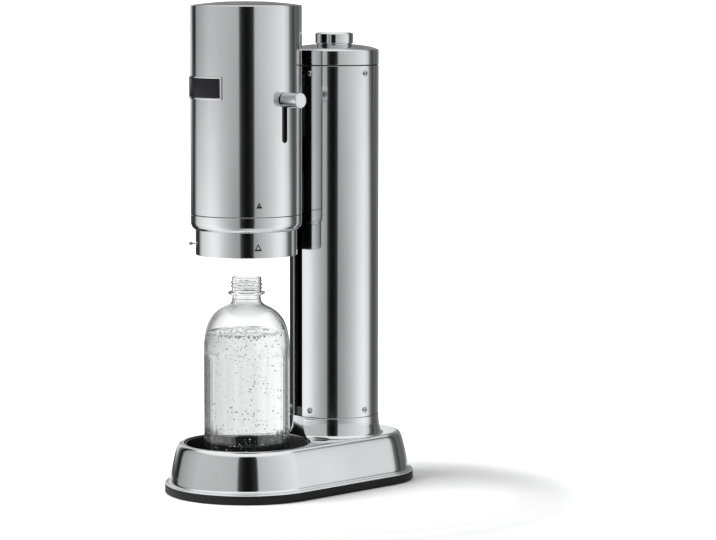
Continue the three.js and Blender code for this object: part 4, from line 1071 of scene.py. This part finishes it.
def floor_finish():
    """Matt white with a faint grain, fading out to the white surroundings."""
    material, tree, shader = new_material("floor_white", Specular_IOR_Level=0.1)
    grain = noise(tree, object_coordinates(tree), 240.0, 3.0)
    shade = ramp(tree, grain, [(0.3, (0.536, 0.536, 0.54)), (0.7, (0.547, 0.547, 0.551))])
    tree.links.new(shade, shader.inputs["Base Color"])
    roughen_by(tree, shader, grain, 0.68, 0.76)
    length = add_node(tree, "ShaderNodeVectorMath", operation="LENGTH")
    tree.links.new(object_coordinates(tree, shift=FLOOR_FADE_SHIFT), length.inputs[0])
    clear_floor = add_node(tree, "ShaderNodeBsdfTransparent")
    mix = add_node(tree, "ShaderNodeMixShader")
    tree.links.new(ramp(tree, length.outputs["Value"], FLOOR_FADE, "EASE"), mix.inputs["Fac"])
    tree.links.new(shader.outputs["BSDF"], mix.inputs[1])
    tree.links.new(clear_floor.outputs["BSDF"], mix.inputs[2])
    tree.links.new(mix.outputs["Shader"], tree.nodes["Material Output"].inputs["Surface"])
    return material


def white_floor():
    top, thickness, edge = -0.00005, 0.00395, 0.001
    floor = rod("floor", FLOOR_RADIUS, top - thickness, top, FLOOR_SIDES, edge)
    floor.data.materials.append(floor_finish())


def levels_round(tree, share, levels, scale=1.0):
    """Brightness by degrees round from the camera's side, as a ramp."""
    return ramp(tree, share, [((angle + 180) / 360, level * scale) for angle, level in levels])


def blend(tree, factor, first, second):
    """A mix of two colours, each a socket or a grey level."""
    node = add_node(tree, "ShaderNodeMix", data_type="RGBA")
    tree.links.new(factor, node.inputs["Factor"])
    for socket, value in ((node.inputs[6], first), (node.inputs[7], second)):
        if isinstance(value, float):
            socket.default_value = (value, value, value, 1)
        else:
            tree.links.new(value, socket)
    return node.outputs[2]


def studio():
    """Surroundings by direction: one ring of levels below the horizon, one above it, and a light top."""
    world = bpy.data.worlds.new("studio")
    bpy.context.scene.world = world
    world.use_nodes = True
    tree = world.node_tree
    background = tree.nodes["Background"]
    source = add_node(tree, "ShaderNodeTexCoord")
    split = add_node(tree, "ShaderNodeSeparateXYZ")
    turn = (0, 0, math.pi / 2 - CAMERA_AZIMUTH - STUDIO_TURN)
    turned = add_node(tree, "ShaderNodeMapping", vector_type="POINT", Rotation=turn)
    tree.links.new(source.outputs["Generated"], turned.inputs["Vector"])
    tree.links.new(turned.outputs["Vector"], split.inputs["Vector"])
    angle = add_node(tree, "ShaderNodeMath", operation="ARCTAN2")
    tree.links.new(split.outputs["Y"], angle.inputs[0])
    tree.links.new(split.outputs["X"], angle.inputs[1])
    share = map_range(tree, angle.outputs["Value"], From_Min=-math.pi, From_Max=math.pi)
    rise = split.outputs["Z"]
    above = map_range(tree, rise, From_Min=HORIZON_LOW, From_Max=HORIZON_HIGH)
    low_ring = levels_round(tree, share, LOW_LEVELS, LEVEL_SCALE)
    high_ring = levels_round(tree, share, HIGH_LEVELS, LEVEL_SCALE)
    lit = blend(tree, above, low_ring, high_ring)
    overhead = ramp(tree, rise, OVERHEAD_RISE, "EASE")
    lit = blend(tree, overhead, lit, OVERHEAD_LEVEL)
    path = add_node(tree, "ShaderNodeLightPath")
    glass_ring = levels_round(tree, share, GLASS_LEVELS)
    lit = blend(tree, path.outputs["Is Transmission Ray"], lit, glass_ring)
    lit = blend(tree, path.outputs["Is Camera Ray"], lit, 1.0)
    tree.links.new(lit, background.inputs["Color"])
    background.inputs["Strength"].default_value = STUDIO_STRENGTH


def key_light():
    """A large soft light from the left, which throws the shadow and shows in no mirror."""
    azimuth, elevation = CAMERA_AZIMUTH - math.radians(73), math.radians(21)
    target = Vector((0, 0, 0.15))
    light = bpy.data.lights.new("key", "AREA")
    light.shape = "RECTANGLE"
    light.size, light.size_y = KEY_SIZE, KEY_SIZE
    light.energy = KEY_POWER
    lamp = new_object("key", light)
    flat = math.cos(elevation)
    away = Vector((math.sin(azimuth) * flat, -math.cos(azimuth) * flat, math.sin(elevation)))
    lamp.location = target + away * KEY_DISTANCE
    lamp.rotation_mode = "QUATERNION"
    lamp.rotation_quaternion = (-away).to_track_quat("-Z", "Y")
    lamp.visible_glossy = False
    lamp.visible_camera = False


def card_finish(name, width, levels):
    """A card's brightness from its left edge to its right one."""
    black = (0.0, 0.0, 0.0, 1)
    sockets = {"Roughness": 0.9, "Specular_IOR_Level": 0.0, "Base_Color": black, "Emission_Strength": 1.0}
    material, tree, shader = new_material(name, **sockets)
    source = add_node(tree, "ShaderNodeTexCoord")
    split = add_node(tree, "ShaderNodeSeparateXYZ")
    tree.links.new(source.outputs["Object"], split.inputs["Vector"])
    share = map_range(tree, split.outputs["X"], From_Min=-width / 2, From_Max=width / 2)
    tree.links.new(ramp(tree, share, levels), shader.inputs["Emission Color"])
    return material


def studio_card(name, distance, aside, width, low_end, high_end, levels):
    """An upright card that only the object's gloss sees, in front of the object or behind it."""
    card = block(name, width, 0.01, low_end, high_end)
    card.data.materials.append(card_finish(name, width, levels))
    card.location = HEAD_AXIS + towards(CAMERA_AZIMUTH) @ Vector((distance, aside, 0))
    card.rotation_euler = (0, 0, CAMERA_AZIMUTH)
    card.visible_camera = False
    card.visible_diffuse = False
    card.visible_transmission = False
    card.visible_shadow = False


white_floor()
studio()
studio_card("black_card", 0.6, 0.037, 0.322, -0.1, 0.53, BLACK_CARD_LEVELS)
studio_card("white_card", -0.6, 0.03, 0.32, 0.05, 0.24, WHITE_CARD_LEVELS)
key_light()

# Camera: as far, as high and as far round as the photograph's.
PHOTO_WIDTH = 716
FOCAL_PIXELS = 2931
SENSOR_WIDTH = 36.0
CAMERA_DISTANCE = 2.5955
CAMERA_ASIDE = 0.0999
CAMERA_HEIGHT = 0.4669
CAMERA_PITCH = math.radians(5.8872)
CAMERA_PAN = -0.00028
CAMERA_ROLL = 0.0015


def photo_camera():
    right = Vector((math.cos(CAMERA_AZIMUTH), math.sin(CAMERA_AZIMUTH), 0))
    ahead = Vector((-math.sin(CAMERA_AZIMUTH), math.cos(CAMERA_AZIMUTH), 0))
    lens = bpy.data.cameras.new("camera")
    lens.sensor_width = SENSOR_WIDTH
    lens.lens = FOCAL_PIXELS * SENSOR_WIDTH / PHOTO_WIDTH
    camera = new_object("camera", lens)
    camera.location = HEAD_AXIS - ahead * CAMERA_DISTANCE + right * CAMERA_ASIDE
    camera.location.z = CAMERA_HEIGHT
    level_sight = (ahead + right * CAMERA_PAN) * math.cos(CAMERA_PITCH)
    sight = level_sight - Vector((0, 0, math.sin(CAMERA_PITCH)))
    roll = Matrix.Rotation(CAMERA_ROLL, 3, "Z").to_quaternion()
    camera.rotation_mode = "QUATERNION"
    camera.rotation_quaternion = sight.to_track_quat("-Z", "Y") @ roll
    bpy.context.scene.camera = camera


photo_camera()
bpy.context.scene.view_settings.view_transform = "Standard"
